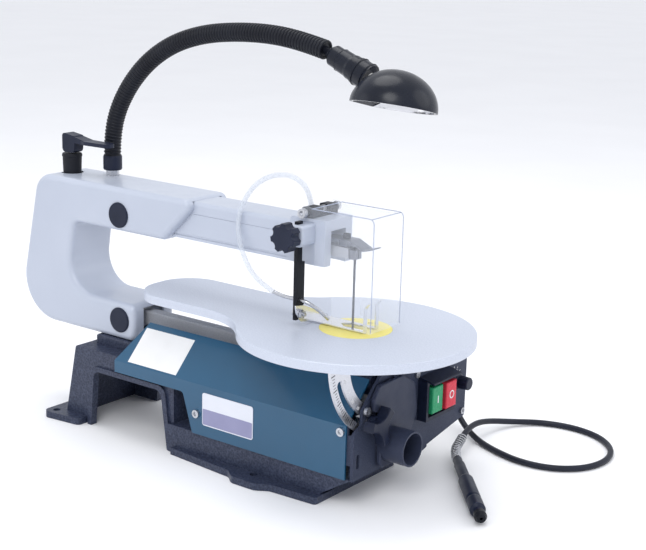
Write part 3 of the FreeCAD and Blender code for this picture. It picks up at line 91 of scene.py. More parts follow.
# ------------------------------------------------------------------ finishes
class Finish:
    """A material under construction: one shader, patterns on Object coordinates."""

    def __init__(self, name, colour, roughness, metal=0.0):
        self.material = bpy.data.materials.new(name)
        self.material.use_nodes = True
        self.tree = self.material.node_tree
        self.shader = next(n for n in self.tree.nodes if n.type == "BSDF_PRINCIPLED")
        self.colour = colour
        self.roughness = roughness
        self.set("Base Color", (*colour, 1))
        self.set("Roughness", roughness)
        self.set("Metallic", metal)
        self.place = self.node("ShaderNodeTexCoord")
        self.height = None

    def set(self, socket, value):
        self.shader.inputs[socket].default_value = value
        return self

    def node(self, kind, **values):
        made = self.tree.nodes.new(kind)
        for key, value in values.items():
            setattr(made, key, value)
        return made

    def join(self, source, target):
        self.tree.links.new(source, target)

    def noise(self, scale, stretch=(1, 1, 1), detail=4.0, rough=0.55):
        mapping = self.node("ShaderNodeMapping")
        mapping.inputs["Scale"].default_value = stretch
        self.join(self.place.outputs["Object"], mapping.inputs["Vector"])
        noise = self.node("ShaderNodeTexNoise")
        noise.inputs["Scale"].default_value = scale
        noise.inputs["Detail"].default_value = detail
        noise.inputs["Roughness"].default_value = rough
        self.join(mapping.outputs["Vector"], noise.inputs["Vector"])
        return noise.outputs["Fac"]

    def cells(self, scale, stretch=(1, 1, 1)):
        mapping = self.node("ShaderNodeMapping")
        mapping.inputs["Scale"].default_value = stretch
        self.join(self.place.outputs["Object"], mapping.inputs["Vector"])
        cells = self.node("ShaderNodeTexVoronoi", feature="SMOOTH_F1")
        cells.inputs["Scale"].default_value = scale
        self.join(mapping.outputs["Vector"], cells.inputs["Vector"])
        return cells.outputs["Distance"]

    def mottled(self, pattern, other, low=0.35, high=0.65):
        """Colour drifts between the base colour and another one."""
        ramp = self.node("ShaderNodeValToRGB")
        ramp.color_ramp.elements[0].position = low
        ramp.color_ramp.elements[0].color = (*self.colour, 1)
        ramp.color_ramp.elements[1].position = high
        ramp.color_ramp.elements[1].color = (*other, 1)
        self.join(pattern, ramp.inputs["Fac"])
        self.join(ramp.outputs["Color"], self.shader.inputs["Base Color"])
        return self

    def patchy(self, pattern, low, high):
        """Roughness drifts between two values."""
        spread = self.node("ShaderNodeMapRange")
        spread.inputs["From Min"].default_value = 0.3
        spread.inputs["From Max"].default_value = 0.7
        spread.inputs["To Min"].default_value = low
        spread.inputs["To Max"].default_value = high
        self.join(pattern, spread.inputs["Value"])
        self.join(spread.outputs["Result"], self.shader.inputs["Roughness"])
        return self

    def raised(self, pattern, depth, strength=1.0):
        bump = self.node("ShaderNodeBump")
        bump.inputs["Distance"].default_value = depth
        bump.inputs["Strength"].default_value = strength
        self.join(pattern, bump.inputs["Height"])
        if self.height is not None:
            self.join(self.height, bump.inputs["Normal"])
        self.height = bump.outputs["Normal"]
        self.join(self.height, self.shader.inputs["Normal"])
        return self

    def lacquer(self, weight, roughness):
        self.set("Coat Weight", weight)
        self.set("Coat Roughness", roughness)
        return self


def sprayed_enamel(name, colour, shadow, roughness):
    f = Finish(name, colour, roughness)
    f.mottled(f.noise(9, detail=6), shadow, 0.3, 0.8)
    f.patchy(f.noise(60, detail=3), roughness - 0.03, roughness + 0.08)
    f.raised(f.noise(900, detail=2), 0.00003, 0.25)
    return f.lacquer(0.30, 0.14)


def hammered_enamel():
    f = Finish("hammered_slate_enamel", (0.012, 0.018, 0.042), 0.38)
    f.mottled(f.cells(480), (0.052, 0.064, 0.108), 0.12, 0.8)
    f.patchy(f.noise(420, detail=3), 0.34, 0.52)
    f.raised(f.cells(480), 0.0005, 0.6)
    f.raised(f.noise(1400, detail=3), 0.00012, 0.4)
    f.set("Specular IOR Level", 0.25)
    return f.lacquer(0.20, 0.22)


def textured_paint(name, colour, light, roughness):
    f = Finish(name, colour, roughness)
    f.mottled(f.noise(700, detail=4), light, 0.42, 0.7)
    f.patchy(f.noise(45, detail=4), roughness - 0.05, roughness + 0.08)
    f.raised(f.noise(1500, detail=4), 0.00014, 0.6)
    return f.set("Specular IOR Level", 0.15)


def brushed_metal(name, colour, shadow, stretch, roughness, metal=0.9):
    f = Finish(name, colour, roughness, metal)
    f.mottled(f.noise(1.0, stretch, detail=5, rough=0.7), shadow, 0.35, 0.75)
    f.patchy(f.noise(1.0, stretch, detail=3), roughness - 0.06, roughness + 0.08)
    f.raised(f.noise(1.0, stretch, detail=4, rough=0.75), 0.00006, 0.35)
    return f


def moulding(name, colour, light, roughness, grain=1100, depth=0.0001):
    f = Finish(name, colour, roughness)
    f.mottled(f.noise(26, detail=5), light, 0.35, 0.75)
    f.patchy(f.noise(80, detail=5), roughness - 0.06, roughness + 0.09)
    f.raised(f.noise(grain, detail=3), depth, 0.5)
    return f.set("Specular IOR Level", 0.22)


def clear_moulding(name, tint, roughness, cover):
    """Thin clear plastic: a pale film over what stands behind it."""
    f = Finish(name, tint, roughness)
    f.patchy(f.noise(35, detail=5), roughness, roughness + 0.06)
    f.raised(f.noise(30, detail=2), 0.0002, 0.15)
    return f.set("Alpha", cover)


finishes = {
    "light_enamel": sprayed_enamel("light_grey_enamel", (0.48, 0.52, 0.61), (0.44, 0.48, 0.57), 0.34),
    "slate_enamel": hammered_enamel(),
    "blue_enamel": sprayed_enamel("blue_enamel", (0.005, 0.080, 0.168), (0.004, 0.068, 0.145), 0.32),
    "dark_panel": textured_paint("dark_panel_paint", (0.032, 0.040, 0.070), (0.050, 0.059, 0.094), 0.46),
    "table_top": brushed_metal("milled_table", (0.60, 0.64, 0.73), (0.49, 0.53, 0.62),
        (1000, 380, 1000), 0.42, 0.25),
    "bright_steel": brushed_metal("turned_steel", (0.58, 0.59, 0.62), (0.44, 0.45, 0.48),
        (900, 900, 120), 0.27, 1.0),
    "clamp_steel": brushed_metal("clamp_steel", (0.21, 0.22, 0.25), (0.13, 0.14, 0.16),
        (600, 600, 600), 0.32, 0.9),
    "scale_steel": brushed_metal("scale_plate", (0.66, 0.67, 0.71), (0.55, 0.56, 0.60),
        (200, 1800, 200), 0.30, 0.9),
    "blade_steel": brushed_metal("blued_blade", (0.045, 0.045, 0.055), (0.02, 0.02, 0.028),
        (400, 400, 2500), 0.35, 0.8),
    "foot_metal": brushed_metal("bright_foot", (0.80, 0.81, 0.84), (0.68, 0.69, 0.73),
        (700, 700, 200), 0.18, 0.85),
    "black_oxide": textured_paint("black_oxide", (0.007, 0.008, 0.012), (0.014, 0.016, 0.022), 0.40),
    "knob_black": moulding("knob_moulding", (0.009, 0.013, 0.030), (0.016, 0.021, 0.043), 0.36),
    "dark_moulding": moulding("duct_moulding", (0.028, 0.035, 0.064), (0.038, 0.046, 0.079), 0.42),
    "yellow_moulding": moulding("yellow_insert", (0.86, 0.76, 0.20), (0.80, 0.70, 0.16), 0.38),
    "green_button": moulding("green_button", (0.022, 0.29, 0.125), (0.016, 0.23, 0.10), 0.25, 500, 0.00004),
    "red_button": moulding("red_button", (0.66, 0.040, 0.070), (0.56, 0.030, 0.055), 0.25, 500, 0.00004),
    "clear_guard": clear_moulding("clear_guard", (0.88, 0.92, 1.0), 0.05, 0.12),
    # painted sheen: grey tint of the rods along the clear guard's edges, standing for the light reflected
    # there
    "guard_edge_sheen": clear_moulding("guard_edge_sheen", (0.42, 0.47, 0.60), 0.10, 0.60),
    "clear_hose": clear_moulding("clear_hose", (0.72, 0.76, 0.83), 0.12, 0.26),
    "boot_rubber": moulding("boot_rubber", (0.008, 0.009, 0.014), (0.014, 0.016, 0.022),
        0.55, 1600, 0.00015),
    "lamp_gloss": moulding("lamp_gloss", (0.004, 0.006, 0.013), (0.007, 0.010, 0.020),
        0.24, 60, 0.00004).set("Specular IOR Level", 0.32),
    "neck_black": moulding("neck_sheath", (0.006, 0.007, 0.012), (0.011, 0.013, 0.020), 0.34, 900, 0.00006),
    "mirror_metal": brushed_metal("bowl_mirror", (0.88, 0.88, 0.90), (0.80, 0.80, 0.83),
        (60, 60, 60), 0.12, 1.0),
    "bulb_glass": moulding("frosted_bulb", (0.88, 0.87, 0.84), (0.94, 0.93, 0.90), 0.22, 600, 0.00003),
    "bronze": brushed_metal("sintered_bronze", (0.45, 0.28, 0.11), (0.35, 0.21, 0.08),
        (700, 700, 700), 0.42, 1.0),
    "cast_metal": textured_paint("cast_aluminium", (0.42, 0.43, 0.46), (0.52, 0.53, 0.56), 0.45),
    "board_green": moulding("circuit_board", (0.012, 0.13, 0.045), (0.02, 0.20, 0.07), 0.35),
    "shaft_jacket": moulding("shaft_jacket", (0.012, 0.014, 0.024), (0.020, 0.023, 0.036),
        0.40, 1200, 0.00012),
    "plate_face": moulding("plain_plate", (0.74, 0.76, 0.82), (0.69, 0.71, 0.78), 0.34, 500, 0.00003),
    "plate_tint": moulding("plate_tint", (0.30, 0.30, 0.46), (0.26, 0.26, 0.41), 0.36, 500, 0.00003),
    "mark_ink": moulding("black_marks", (0.015, 0.015, 0.02), (0.025, 0.025, 0.03), 0.5),
    "symbol_white": moulding("white_marks", (0.80, 0.80, 0.80), (0.86, 0.86, 0.86), 0.4),
}
metal = {name: made.material for name, made in finishes.items()}

wears = {
    "slate_enamel": ["base_casting", "trunnion_seat"],
    "light_enamel": ["frame_half_left", "frame_half_right", "arm_casting", "arm_side_plate"],
    "bright_steel": ["pivot_pins", "motor_shaft", "tension_nut", "tension_rod", "lower_blade_clamp",
                     "lock_bolt", "foot_screw", "blower_tube", "guard_bolt", "lamp_nut", "housing_screws"],
    "clamp_steel": ["upper_blade_clamp"],
    "knob_black": ["pivot_caps", "switch_frame", "speed_knob", "tension_lever", "hold_down_knob", "lock_knob",
                   "lamp_collar", "handpiece", "shaft_coupling", "cable_gland"],
    "bronze": ["pivot_bushes"],
    "blue_enamel": ["side_cover"],
    "dark_panel": ["tilt_bracket", "front_panel"],
    "dark_moulding": ["dust_port"],
    "green_button": ["start_button"],
    "red_button": ["stop_button"],
    "board_green": ["control_board"],
    "black_oxide": ["motor_case", "collet", "upper_clamp_screw", "hold_down_bar", "guard_bracket"],
    "cast_metal": ["connecting_rod", "lower_arm", "upper_arm", "table_trunnion"],
    "boot_rubber": ["tension_knob", "air_bellows"],
    "blade_steel": ["blade"],
    "table_top": ["table"],
    "yellow_moulding": ["table_insert"],
    "scale_steel": ["tilt_scale"],
    "foot_metal": ["hold_down_foot"],
    "clear_guard": ["blade_guard"],
    "clear_hose": ["air_hose"],
    "neck_black": ["lamp_gooseneck"],
    "lamp_gloss": ["lamp_neck", "lamp_shade"],
    "mirror_metal": ["lamp_reflector"],
    "bulb_glass": ["lamp_bulb"],
    "shaft_jacket": ["flex_shaft"],
}
for finish_name, wearers in wears.items():
    for wearer in wearers:
        for slot in nodes[wearer].material_slots:
            slot.material = metal[finish_name]


# ------------------------------------------------------------------ mesh helpers
def put(name, mesh, finish, body, smooth=True):
    """New piece from a finished mesh: material and body."""
    if not mesh.materials:
        mesh.materials.append(metal[finish])
    if smooth:
        mesh.shade_smooth()
    piece = bpy.data.objects.new(name, mesh)
    bpy.context.collection.objects.link(piece)
    if body:
        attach(piece, body)
    return piece


def from_bmesh(name, bm, sharp=35):
    bmesh.ops.remove_doubles(bm, verts=bm.verts, dist=1e-6)
    bmesh.ops.recalc_face_normals(bm, faces=bm.faces)
    for edge in bm.edges:
        if len(edge.link_faces) == 2 and edge.calc_face_angle(0) > math.radians(sharp):
            edge.smooth = False
    mesh = bpy.data.meshes.new(name)
    bm.to_mesh(mesh)
    bm.free()
    return mesh


def route_curve(name, points, thickness):
    curve = bpy.data.curves.new(name, "CURVE")
    curve.dimensions = "3D"
    curve.resolution_u = 16
    spline = curve.splines.new("NURBS")
    spline.points.add(len(points) - 1)
    for knot, point in zip(spline.points, points):
        knot.co = (*point, 1)
    spline.order_u = 3
    spline.use_endpoint_u = True
    spline.resolution_u = 16
    if thickness > 0:
        curve.bevel_depth = thickness
        curve.bevel_resolution = 6
        curve.use_fill_caps = True
    return curve


def route_line(points):
    """Points along the smooth line that the control points give."""
    curve = route_curve("line", points, 0)
    holder = bpy.data.objects.new("line", curve)
    bpy.context.collection.objects.link(holder)
    bpy.context.view_layer.update()
    mesh = bpy.data.meshes.new_from_object(holder)
    line = [v.co.copy() for v in mesh.vertices]
    bpy.data.objects.remove(holder)
    bpy.data.meshes.remove(mesh)
    return line


def even(line, step):
    """The same line with points an even step apart."""
    spots = [line[0].copy()]
    left = step
    for a, b in zip(line, line[1:]):
        run = (b - a).length
        done = 0.0
        while run - done >= left:
            done += left
            spots.append(a.lerp(b, done / run))
            left = step
        left -= run - done
    return spots


def frames(line):
    """Tangent and a slowly turning side direction at each point."""
    side = None
    found = []
    for i, here in enumerate(line):
        ahead = line[min(i + 1, len(line) - 1)] - line[max(i - 1, 0)]
        tangent = ahead.normalized()
        if side is None:
            side = tangent.orthogonal().normalized()
        side = (side - tangent * side.dot(tangent)).normalized()
        found.append((here, tangent, side, tangent.cross(side)))
    return found


def sleeve(line, radii, sides=20, bore=None):
    """Closed tube along a line, its radius given at each point."""
    bm = bmesh.new()
    rings = []
    spots = frames(line)

    def circle(spot, r):
        here, _, side, other = spot
        return [bm.verts.new(here + (side * math.cos(2 * math.pi * k / sides)
                                     + other * math.sin(2 * math.pi * k / sides)) * r) for k in range(sides)]

    rings = [circle(spot, r) for spot, r in zip(spots, radii)]
    if bore is None:
        bm.faces.new(rings[0])
        bm.faces.new(rings[-1])
    else:
        rings += [circle(spot, bore) for spot in reversed(spots)]
        rings.append(rings[0])
    for a, b in zip(rings, rings[1:]):
        for k in range(sides):
            bm.faces.new((a[k], a[(k + 1) % sides], b[(k + 1) % sides], b[k]))
    return bm


def lathe(profile, place, axis, sides=48):
    """Closed ring or cap turned from (radius, height) pairs about an axis."""
    bm = bmesh.new()
    turn = Vector((0, 0, 1)).rotation_difference(Vector(axis).normalized())
    rings = []
    for r, h in profile:
        rings.append([bm.verts.new(place + turn @ Vector((r * math.cos(2 * math.pi * k / sides),
                                                          r * math.sin(2 * math.pi * k / sides), h)))
                      for k in range(sides)])
    for a, b in zip(rings, rings[1:] + rings[:1]):
        for k in range(sides):
            bm.faces.new((a[k], a[(k + 1) % sides], b[(k + 1) % sides], b[k]))
    return bm


# ------------------------------------------------------------------ repeats
def ribs_tree(name):
    """Round ribs set along a route at an even pitch, with a core inside them."""
    tree = bpy.data.node_groups.new(name, "GeometryNodeTree")
    face = tree.interface
    face.new_socket("Route", in_out="INPUT", socket_type="NodeSocketGeometry")
    wanted = {}
    for label in ("Pitch", "Rib Radius", "Rib Thickness", "Core Radius"):
        wanted[label] = face.new_socket(label, in_out="INPUT", socket_type="NodeSocketFloat").identifier
    wanted["Finish"] = face.new_socket("Finish", in_out="INPUT", socket_type="NodeSocketMaterial").identifier
    face.new_socket("Ribs", in_out="OUTPUT", socket_type="NodeSocketGeometry")
    new = tree.nodes.new
    link = tree.links.new
    given = new("NodeGroupInput")
    result = new("NodeGroupOutput")
    spots = new("GeometryNodeCurveToPoints")
    spots.mode = "LENGTH"
    link(given.outputs["Route"], spots.inputs["Curve"])
    link(given.outputs["Pitch"], spots.inputs["Length"])
    hoop = new("GeometryNodeCurvePrimitiveCircle")
    hoop.inputs["Resolution"].default_value = 28
    link(given.outputs["Rib Radius"], hoop.inputs["Radius"])
    wire = new("GeometryNodeCurvePrimitiveCircle")
    wire.inputs["Resolution"].default_value = 8
    link(given.outputs["Rib Thickness"], wire.inputs["Radius"])
    rib = new("GeometryNodeCurveToMesh")
    link(hoop.outputs["Curve"], rib.inputs["Curve"])
    link(wire.outputs["Curve"], rib.inputs["Profile Curve"])
    turn = new("FunctionNodeAlignRotationToVector")
    turn.axis = "Z"
    link(spots.outputs["Tangent"], turn.inputs["Vector"])
    copies = new("GeometryNodeInstanceOnPoints")
    link(spots.outputs["Points"], copies.inputs["Points"])
    link(rib.outputs["Mesh"], copies.inputs["Instance"])
    link(turn.outputs["Rotation"], copies.inputs["Rotation"])
    bore = new("GeometryNodeCurvePrimitiveCircle")
    bore.inputs["Resolution"].default_value = 24
    link(given.outputs["Core Radius"], bore.inputs["Radius"])
    core = new("GeometryNodeCurveToMesh")
    core.inputs["Fill Caps"].default_value = True
    link(given.outputs["Route"], core.inputs["Curve"])
    link(bore.outputs["Curve"], core.inputs["Profile Curve"])
    both = new("GeometryNodeJoinGeometry")
    link(copies.outputs["Instances"], both.inputs["Geometry"])
    link(core.outputs["Mesh"], both.inputs["Geometry"])
    whole = new("GeometryNodeRealizeInstances")
    link(both.outputs["Geometry"], whole.inputs["Geometry"])
    painted = new("GeometryNodeSetMaterial")
    link(whole.outputs["Geometry"], painted.inputs["Geometry"])
    link(given.outputs["Finish"], painted.inputs["Material"])
    link(painted.outputs["Geometry"], result.inputs["Ribs"])
    return tree, wanted


def baked(holder):
    """The evaluated result of a holder's modifiers as a plain mesh."""
    bpy.context.view_layer.update()
    seen = holder.evaluated_get(bpy.context.evaluated_depsgraph_get())
    mesh = bpy.data.meshes.new_from_object(seen)
    bpy.data.objects.remove(holder)
    return mesh


def ribbed(name, points, pitch, radius, thickness, core, finish):
    holder = bpy.data.objects.new(name + "_route", route_curve(name + "_route", points, 0))
    bpy.context.collection.objects.link(holder)
    modifier = holder.modifiers.new("ribs", "NODES")
    tree, wanted = ribs_tree(name + "_ribs")
    modifier.node_group = tree
    for label, value in (("Pitch", pitch), ("Rib Radius", radius), ("Rib Thickness", thickness),
                         ("Core Radius", core), ("Finish", metal[finish])):
        modifier[wanted[label]] = value
    return baked(holder)


def marks_tree():
    """Short bars standing across an arc, for a printed scale."""
    tree = bpy.data.node_groups.new("scale_marks", "GeometryNodeTree")
    face = tree.interface
    face.new_socket("Nothing", in_out="INPUT", socket_type="NodeSocketGeometry")
    wanted = {}
    for label, kind in (("Radius", "Float"), ("Start", "Float"), ("Sweep", "Float"), ("Count", "Int"),
                        ("Mark", "Vector"), ("Finish", "Material")):
        wanted[label] = face.new_socket(label, in_out="INPUT", socket_type="NodeSocket" + kind).identifier
    face.new_socket("Marks", in_out="OUTPUT", socket_type="NodeSocketGeometry")
    new = tree.nodes.new
    link = tree.links.new
    given = new("NodeGroupInput")
    result = new("NodeGroupOutput")
    arc = new("GeometryNodeCurveArc")
    arc.inputs["Resolution"].default_value = 64
    link(given.outputs["Radius"], arc.inputs["Radius"])
    link(given.outputs["Start"], arc.inputs["Start Angle"])
    link(given.outputs["Sweep"], arc.inputs["Sweep Angle"])
    spots = new("GeometryNodeCurveToPoints")
    spots.mode = "COUNT"
    link(arc.outputs["Curve"], spots.inputs["Curve"])
    link(given.outputs["Count"], spots.inputs["Count"])
    bar = new("GeometryNodeMeshCube")
    link(given.outputs["Mark"], bar.inputs["Size"])
    turn = new("FunctionNodeAlignRotationToVector")
    turn.axis = "X"
    link(spots.outputs["Tangent"], turn.inputs["Vector"])
    copies = new("GeometryNodeInstanceOnPoints")
    link(spots.outputs["Points"], copies.inputs["Points"])
    link(bar.outputs["Mesh"], copies.inputs["Instance"])
    link(turn.outputs["Rotation"], copies.inputs["Rotation"])
    whole = new("GeometryNodeRealizeInstances")
    link(copies.outputs["Instances"], whole.inputs["Geometry"])
    painted = new("GeometryNodeSetMaterial")
    link(whole.outputs["Geometry"], painted.inputs["Geometry"])
    link(given.outputs["Finish"], painted.inputs["Material"])
    link(painted.outputs["Geometry"], result.inputs["Marks"])
    return tree, wanted


marks_group, marks_sockets = marks_tree()


def marks(name, centre, radius, start, sweep, count, size, finish):
    """Scale bars on a face that looks forward; angles run from +Y towards +Z."""
    holder = bpy.data.objects.new(name, bpy.data.meshes.new(name))
    bpy.context.collection.objects.link(holder)
    modifier = holder.modifiers.new("marks", "NODES")
    modifier.node_group = marks_group
    for label, value in (("Radius", radius), ("Start", math.radians(start)), ("Sweep", math.radians(sweep)),
                         ("Count", count), ("Mark", size), ("Finish", metal[finish])):
        modifier[marks_sockets[label]] = value
    mesh = baked(holder)
    face_on = Matrix(((0, 0, 1, 0), (1, 0, 0, 0), (0, 1, 0, 0), (0, 0, 0, 1)))
    mesh.transform(Matrix.Translation(centre) @ face_on)
    return mesh


def figure(text, height, centre, across, upward, finish, lift=0.00012):
    """Flat figure on a face, read with across to the right and upward up."""
    data = bpy.data.curves.new("figure", "FONT")
    data.body = text
    data.size = height
    data.align_x = "CENTER"
    data.align_y = "CENTER"
    data.extrude = lift
    holder = bpy.data.objects.new("figure", data)
    bpy.context.collection.objects.link(holder)
    mesh = baked(holder)
    mesh.materials.clear()
    mesh.materials.append(metal[finish])
    a, u = Vector(across).normalized(), Vector(upward).normalized()
    turn = Matrix((a, u, a.cross(u))).transposed().to_4x4()
    mesh.transform(Matrix.Translation(centre) @ turn)
    return mesh


def merged(name, meshes):
    bm = bmesh.new()
    for mesh in meshes:
        bm.from_mesh(mesh)
    whole = bpy.data.meshes.new(name)
    bm.to_mesh(whole)
    bm.free()
    for material in meshes[0].materials:
        whole.materials.append(material)
    return whole


def slab(outline, depth, edge):
    """Plate from (point) corners pushed along depth, its rim eased."""
    bm = bmesh.new()
    face = bm.faces.new([bm.verts.new(p) for p in outline])
    pushed = bmesh.ops.extrude_face_region(bm, geom=[face])
    lifted = [v for v in pushed["geom"] if isinstance(v, bmesh.types.BMVert)]
    bmesh.ops.translate(bm, vec=depth, verts=lifted)
    bmesh.ops.recalc_face_normals(bm, faces=bm.faces)
    if edge > 0:
        bmesh.ops.bevel(bm, geom=list(bm.edges), offset=edge, segments=2, affect="EDGES")
    return bm


def round_corners(x0, x1, z0, z1, r, y, count=6):
    corners = []
    for cx, cz, start in ((x1 - r, z1 - r, 0), (x0 + r, z1 - r, 90),
                          (x0 + r, z0 + r, 180), (x1 - r, z0 + r, 270)):
        for k in range(count + 1):
            angle = math.radians(start + 90 * k / count)
            corners.append(at(cx + r * math.cos(angle), y, cz + r * math.sin(angle)))
    return corners


# ------------------------------------------------------------------ flexible shaft
TOOL_WAY = Vector((0.65, -0.76, 0)).normalized()
TAIL = at(70, 113, -166.4)
REST = -171.4
shaft_route = [at(-70, 169.2, -95), at(-70, 193, -95), at(-58, 215, -103), at(-35, 226, -122),
               at(-6, 223, -145), at(20, 208, -164), at(50, 192, REST), at(84, 176, REST),
               at(122, 166, REST), at(160, 173, REST), at(187, 199, REST), at(195, 236, REST),
               at(183, 273, REST), at(153, 300, REST), at(114, 308, REST), at(76, 298, REST),
               at(50, 271, REST + 2), at(38, 238, -162), at(37, 208, -156.3),
               at(41, 180, -156.3), TAIL - TOOL_WAY * 0.0271 + Vector((-0.006, 0.024, 0.005)),
               TAIL - TOOL_WAY * 0.0271, TAIL - TOOL_WAY * 0.0001]
shaft_line = route_line(shaft_route)

shaft = bpy.data.objects.new("flexible_shaft", route_curve("flexible_shaft", shaft_route, SHAFT_R))
bpy.context.collection.objects.link(shaft)
shaft.data.materials.append(metal["shaft_jacket"])
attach(shaft, "saw")
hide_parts("flex_shaft")


def coil_guard():
    """Open spring round the last stretch of the shaft."""
    tail = even(list(reversed(shaft_line)), 0.0002)
    turns = []
    length = 0.058
    pitch = 0.0044
    wire = 0.0008
    steps = int(length / 0.0002)
    for i, (here, _, side, other) in enumerate(frames(tail[:steps])):
        angle = 2 * math.pi * i * 0.0002 / pitch
        turns.append(here + (side * math.cos(angle) + other * math.sin(angle)) * 0.0049)
    coil = from_bmesh("shaft_spring_guard", sleeve(turns, [wire] * len(turns), 8), 80)
    return put("shaft_spring_guard", coil, "bright_steel", "saw")


def outlet_relief():
    line = even(shaft_line, 0.0005)[:49]
    radii = []
    for k in range(len(line)):
        taper = 0.0066 - 0.0022 * k / 48
        radii.append(taper - (0.0007 if k % 6 in (4, 5) else 0))
    relief = from_bmesh("shaft_relief", sleeve(line, radii, 28), 25)
    put("shaft_relief", relief, "boot_rubber", "saw")


spring_guard = coil_guard()
outlet_relief()

# ------------------------------------------------------------------ air hose
hose_route = [at(-60, 3, 115.3), at(-62, 2, 136), at(-76, -3, 152), at(-98, -9, 154),
              at(-120, -17, 143), at(-133, -24, 122), at(-137, -29, 98), at(-131, -31.5, 74),
              at(-118, -33.5, 53), at(-101, -35, 39), at(-80.3, -35.2, 31.6)]
hose_line = even(route_line(hose_route), 0.002)
hose_line.append(hose_route[-1])
hose_wall = sleeve(hose_line, [HOSE_R] * len(hose_line), 20, HOSE_BORE_R)
hose = put("clear_air_hose", from_bmesh("clear_air_hose", hose_wall, 80), "clear_hose", None)
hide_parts("air_hose")
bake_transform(hose)

# ------------------------------------------------------------------ lamp
NECK_END = at(-38, 2, 284)
NECK_WAY = Vector((0.92, 0, -0.392)).normalized()
neck_route = [at(-377, 20, 137.4), at(-377, 20, 158), at(-368, 19.5, 191), at(-345, 18, 225),
              at(-313, 16.5, 255), at(-272, 14.5, 278), at(-224, 12, 292), at(-172, 9, 298),
              at(-120, 6, 299), at(-76, 4, 294),
              NECK_END - NECK_WAY * 0.0105]
neck_ribs = ribbed("swan_neck", neck_route, pitch=0.0041, radius=0.0089, thickness=0.0016, core=0.0094,
                   finish="neck_black")
neck = put("ribbed_swan_neck", neck_ribs, "neck_black", "lamp_arm")
ball = put("neck_ball", from_bmesh("neck_ball", lathe(
    [(0.0002, -0.011)] + [(0.0045, -0.011), (0.0045, -0.0056)]
    + [(0.007 * math.sin(math.radians(a)), -0.007 * math.cos(math.radians(a))) for a in range(42, 176, 12)]
    + [(0.0002, 0.00695)], NECK_END, NECK_WAY)), "neck_black", "lamp_arm")
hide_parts("lamp_gooseneck")
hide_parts("lamp_gooseneck")


def neck_rings():
    rings = []
    for h, r in ((0.0130, 0.0118), (0.0385, 0.0146), (0.0495, 0.0146)):
        bm = lathe([(r - 0.0012, h - 0.0011), (r, h - 0.0009), (r + 0.0006, h), (r, h + 0.0009),
                    (r - 0.0012, h + 0.0011)], NECK_END, NECK_WAY, 56)
        rings.append(from_bmesh("ring", bm, 60))
    mesh = merged("neck_rings", rings)
    mesh.materials.clear()
    put("neck_rings", mesh, "lamp_gloss", "lamp_head")


neck_rings()

# ------------------------------------------------------------------ guard edges, painted sheen
def guard_edge_sheen():
    """Edges of the clear box, where the sheet is bent or cut, drawn as rods whose grey tint is painted sheen:
    the light reflected along the bent sheet and its cut edges.
    """
    runs = [[at(-38, y, 126.4), at(37, y, 126.4), at(40, y, 125), at(41.4, y, 122), at(41.4, y, 6.8)]
            for y in (-26.4, 26.4)]
    runs.append([at(38.6, -26, 126.2), at(38.6, 26, 126.2)])
    runs.append([at(-37.4, -26, 126.4), at(-37.4, 26, 126.4)])
    rods = []
    for run in runs:
        line = even(run, 0.002)
        rods.append(from_bmesh("edge", sleeve(line, [0.0006] * len(line), 8)))
    mesh = merged("guard_edge_sheen", rods)
    mesh.materials.clear()
    put("guard_edge_sheen", mesh, "guard_edge_sheen", "guard")


guard_edge_sheen()

# ------------------------------------------------------------------ panel furniture
PANEL_FACE = 53.5


def speed_dial():
    centre = at(PANEL_FACE, 123, -78)
    ring = lathe([(0.0106, 0.0), (0.0128, 0.0), (0.0128, 0.0005), (0.0106, 0.0005)], centre, (1, 0, 0), 72)
    put("speed_ring", from_bmesh("speed_ring", ring), "scale_steel", "saw")
    bars = marks("speed_marks", at(PANEL_FACE + 0.1, 123, -78), 0.0150, -45, 270, 11,
                 (0.0005, 0.0024, 0.0003), "symbol_white")
    put("speed_marks", bars, "symbol_white", "saw", smooth=False)


def switch_symbols():
    x = 53.55 + 12 + 3.55
    raised = 0.0003
    bar = slab([at(x, 66.0, -86), at(x, 67.6, -86), at(x, 67.6, -78), at(x, 66.0, -78)],
               Vector((raised, 0, 0)), 0)
    put("start_symbol", from_bmesh("start_symbol", bar), "symbol_white", "start_button",
        smooth=False)
    hoop = lathe([(0.0034, 0), (0.0046, 0), (0.0046, raised), (0.0034, raised)],
                 at(x + 2.0, 91.3, -82), (1, 0, 0), 40)
    put("stop_symbol", from_bmesh("stop_symbol", hoop), "symbol_white", "stop_button")


def tilt_marks():
    centre = at(46.55, 0, -4)
    fine = marks("tilt_fine", centre, 0.0972, 190, 50, 26, (0.0005, 0.0036, MARK_DEPTH), "mark_ink")
    coarse = marks("tilt_coarse", centre, 0.0973, 190, 50, 6, (0.0009, 0.0064, MARK_DEPTH), "mark_ink")
    parts = [fine, coarse]
    for degrees, text in ((240, "0"), (230, "10"), (220, "20"), (210, "30"), (200, "40")):
        a = math.radians(degrees)
        spot = centre + Vector((0, math.cos(a), math.sin(a))) * 0.0805
        outward = Vector((0, math.cos(a), math.sin(a)))
        across = outward.cross(Vector((1, 0, 0))) * -1
        parts.append(figure(text, 0.0055, spot, across, outward * -1, "mark_ink"))
    put("tilt_marks", merged("tilt_marks", parts), "mark_ink", "table", smooth=False)


def plain_badge():
    plate = slab(round_corners(-154, -81, -129, -91, 3, -65.05), Vector((0, -0.0007, 0)), 0.0002)
    put("plain_badge", from_bmesh("plain_badge", plate), "plate_face", "saw", smooth=False)
    band = slab(round_corners(-153, -82, -127.6, -109.5, 1.5, -65.75), Vector((0, -MARK_DEPTH, 0)), 0)
    put("badge_band", from_bmesh("badge_band", band), "plate_tint", "saw", smooth=False)


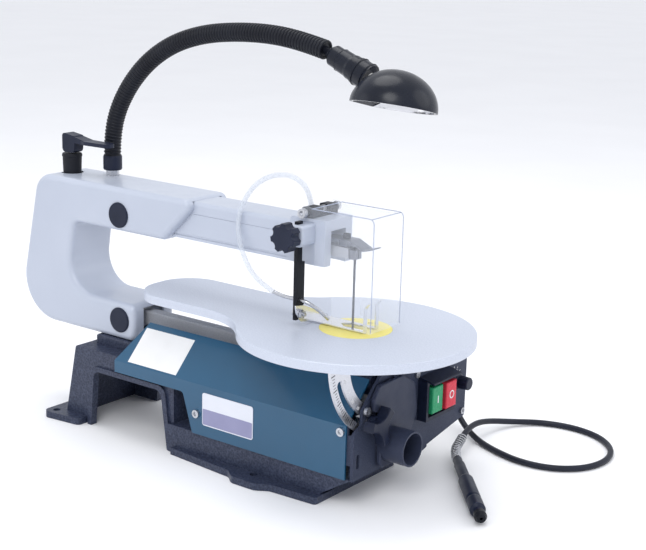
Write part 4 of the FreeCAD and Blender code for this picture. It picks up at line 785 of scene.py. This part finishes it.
def plain_label():
    """Blank white sticker on the cover's slope."""
    foot, head = at(0, -65, -83), at(0, -26, -42)
    up = (head - foot).normalized()
    out = Vector((0, -up.z, up.y))
    corners = [foot + Vector((x / 1000, 0, 0)) + up * (s / 1000) + out * 0.00005
               for x, s in ((-271, 2.5), (-196, 2.5), (-196, 49), (-271, 49))]
    sticker = slab(corners, out * MARK_DEPTH, 0)
    put("plain_label", from_bmesh("plain_label", sticker), "symbol_white", "saw",
        smooth=False)


speed_dial()
switch_symbols()
tilt_marks()
plain_badge()
plain_label()


# ------------------------------------------------------------------ studio
def studio():
    floor_mesh = bpy.data.meshes.new("floor")
    bm = bmesh.new()
    bmesh.ops.create_grid(bm, x_segments=1, y_segments=1, size=60)
    bm.to_mesh(floor_mesh)
    bm.free()
    floor = bpy.data.objects.new("floor", floor_mesh)
    floor.location = (0, 0, -0.0002)
    paper = Finish("pale_floor", (0.96, 0.96, 0.97), 0.8)
    paper.mottled(paper.noise(3), (0.94, 0.94, 0.95))
    floor_mesh.materials.append(paper.material)
    bpy.context.collection.objects.link(floor)
    world = bpy.data.worlds.new("studio")
    world.use_nodes = True
    world.node_tree.nodes["Background"].inputs["Color"].default_value = (0.93, 0.95, 1.0, 1)
    world.node_tree.nodes["Background"].inputs["Strength"].default_value = 0.92
    bpy.context.scene.world = world
    bpy.context.scene.view_settings.view_transform = "Standard"
    for name, place, target, size, power in (
            ("key", (0.9, -1.5, 1.7), (0.1, 0, 0.15), 1.2, 15),
            ("fill", (1.7, 1.0, 1.2), (0.2, 0, 0.15), 1.6, 6),
            ("top", (-0.3, 0.2, 2.2), (0.0, 0, 0.1), 1.5, 15),
            ("left", (-1.4, -1.2, 0.9), (0.0, 0, 0.2), 1.2, 2)):
        lamp = bpy.data.lights.new(name, "AREA")
        lamp.shape = "DISK"
        lamp.size = size
        lamp.energy = power
        light = bpy.data.objects.new(name, lamp)
        light.location = place
        light.rotation_euler = (Vector(target) - Vector(place)).to_track_quat("-Z", "Y").to_euler()
        bpy.context.collection.objects.link(light)


studio()
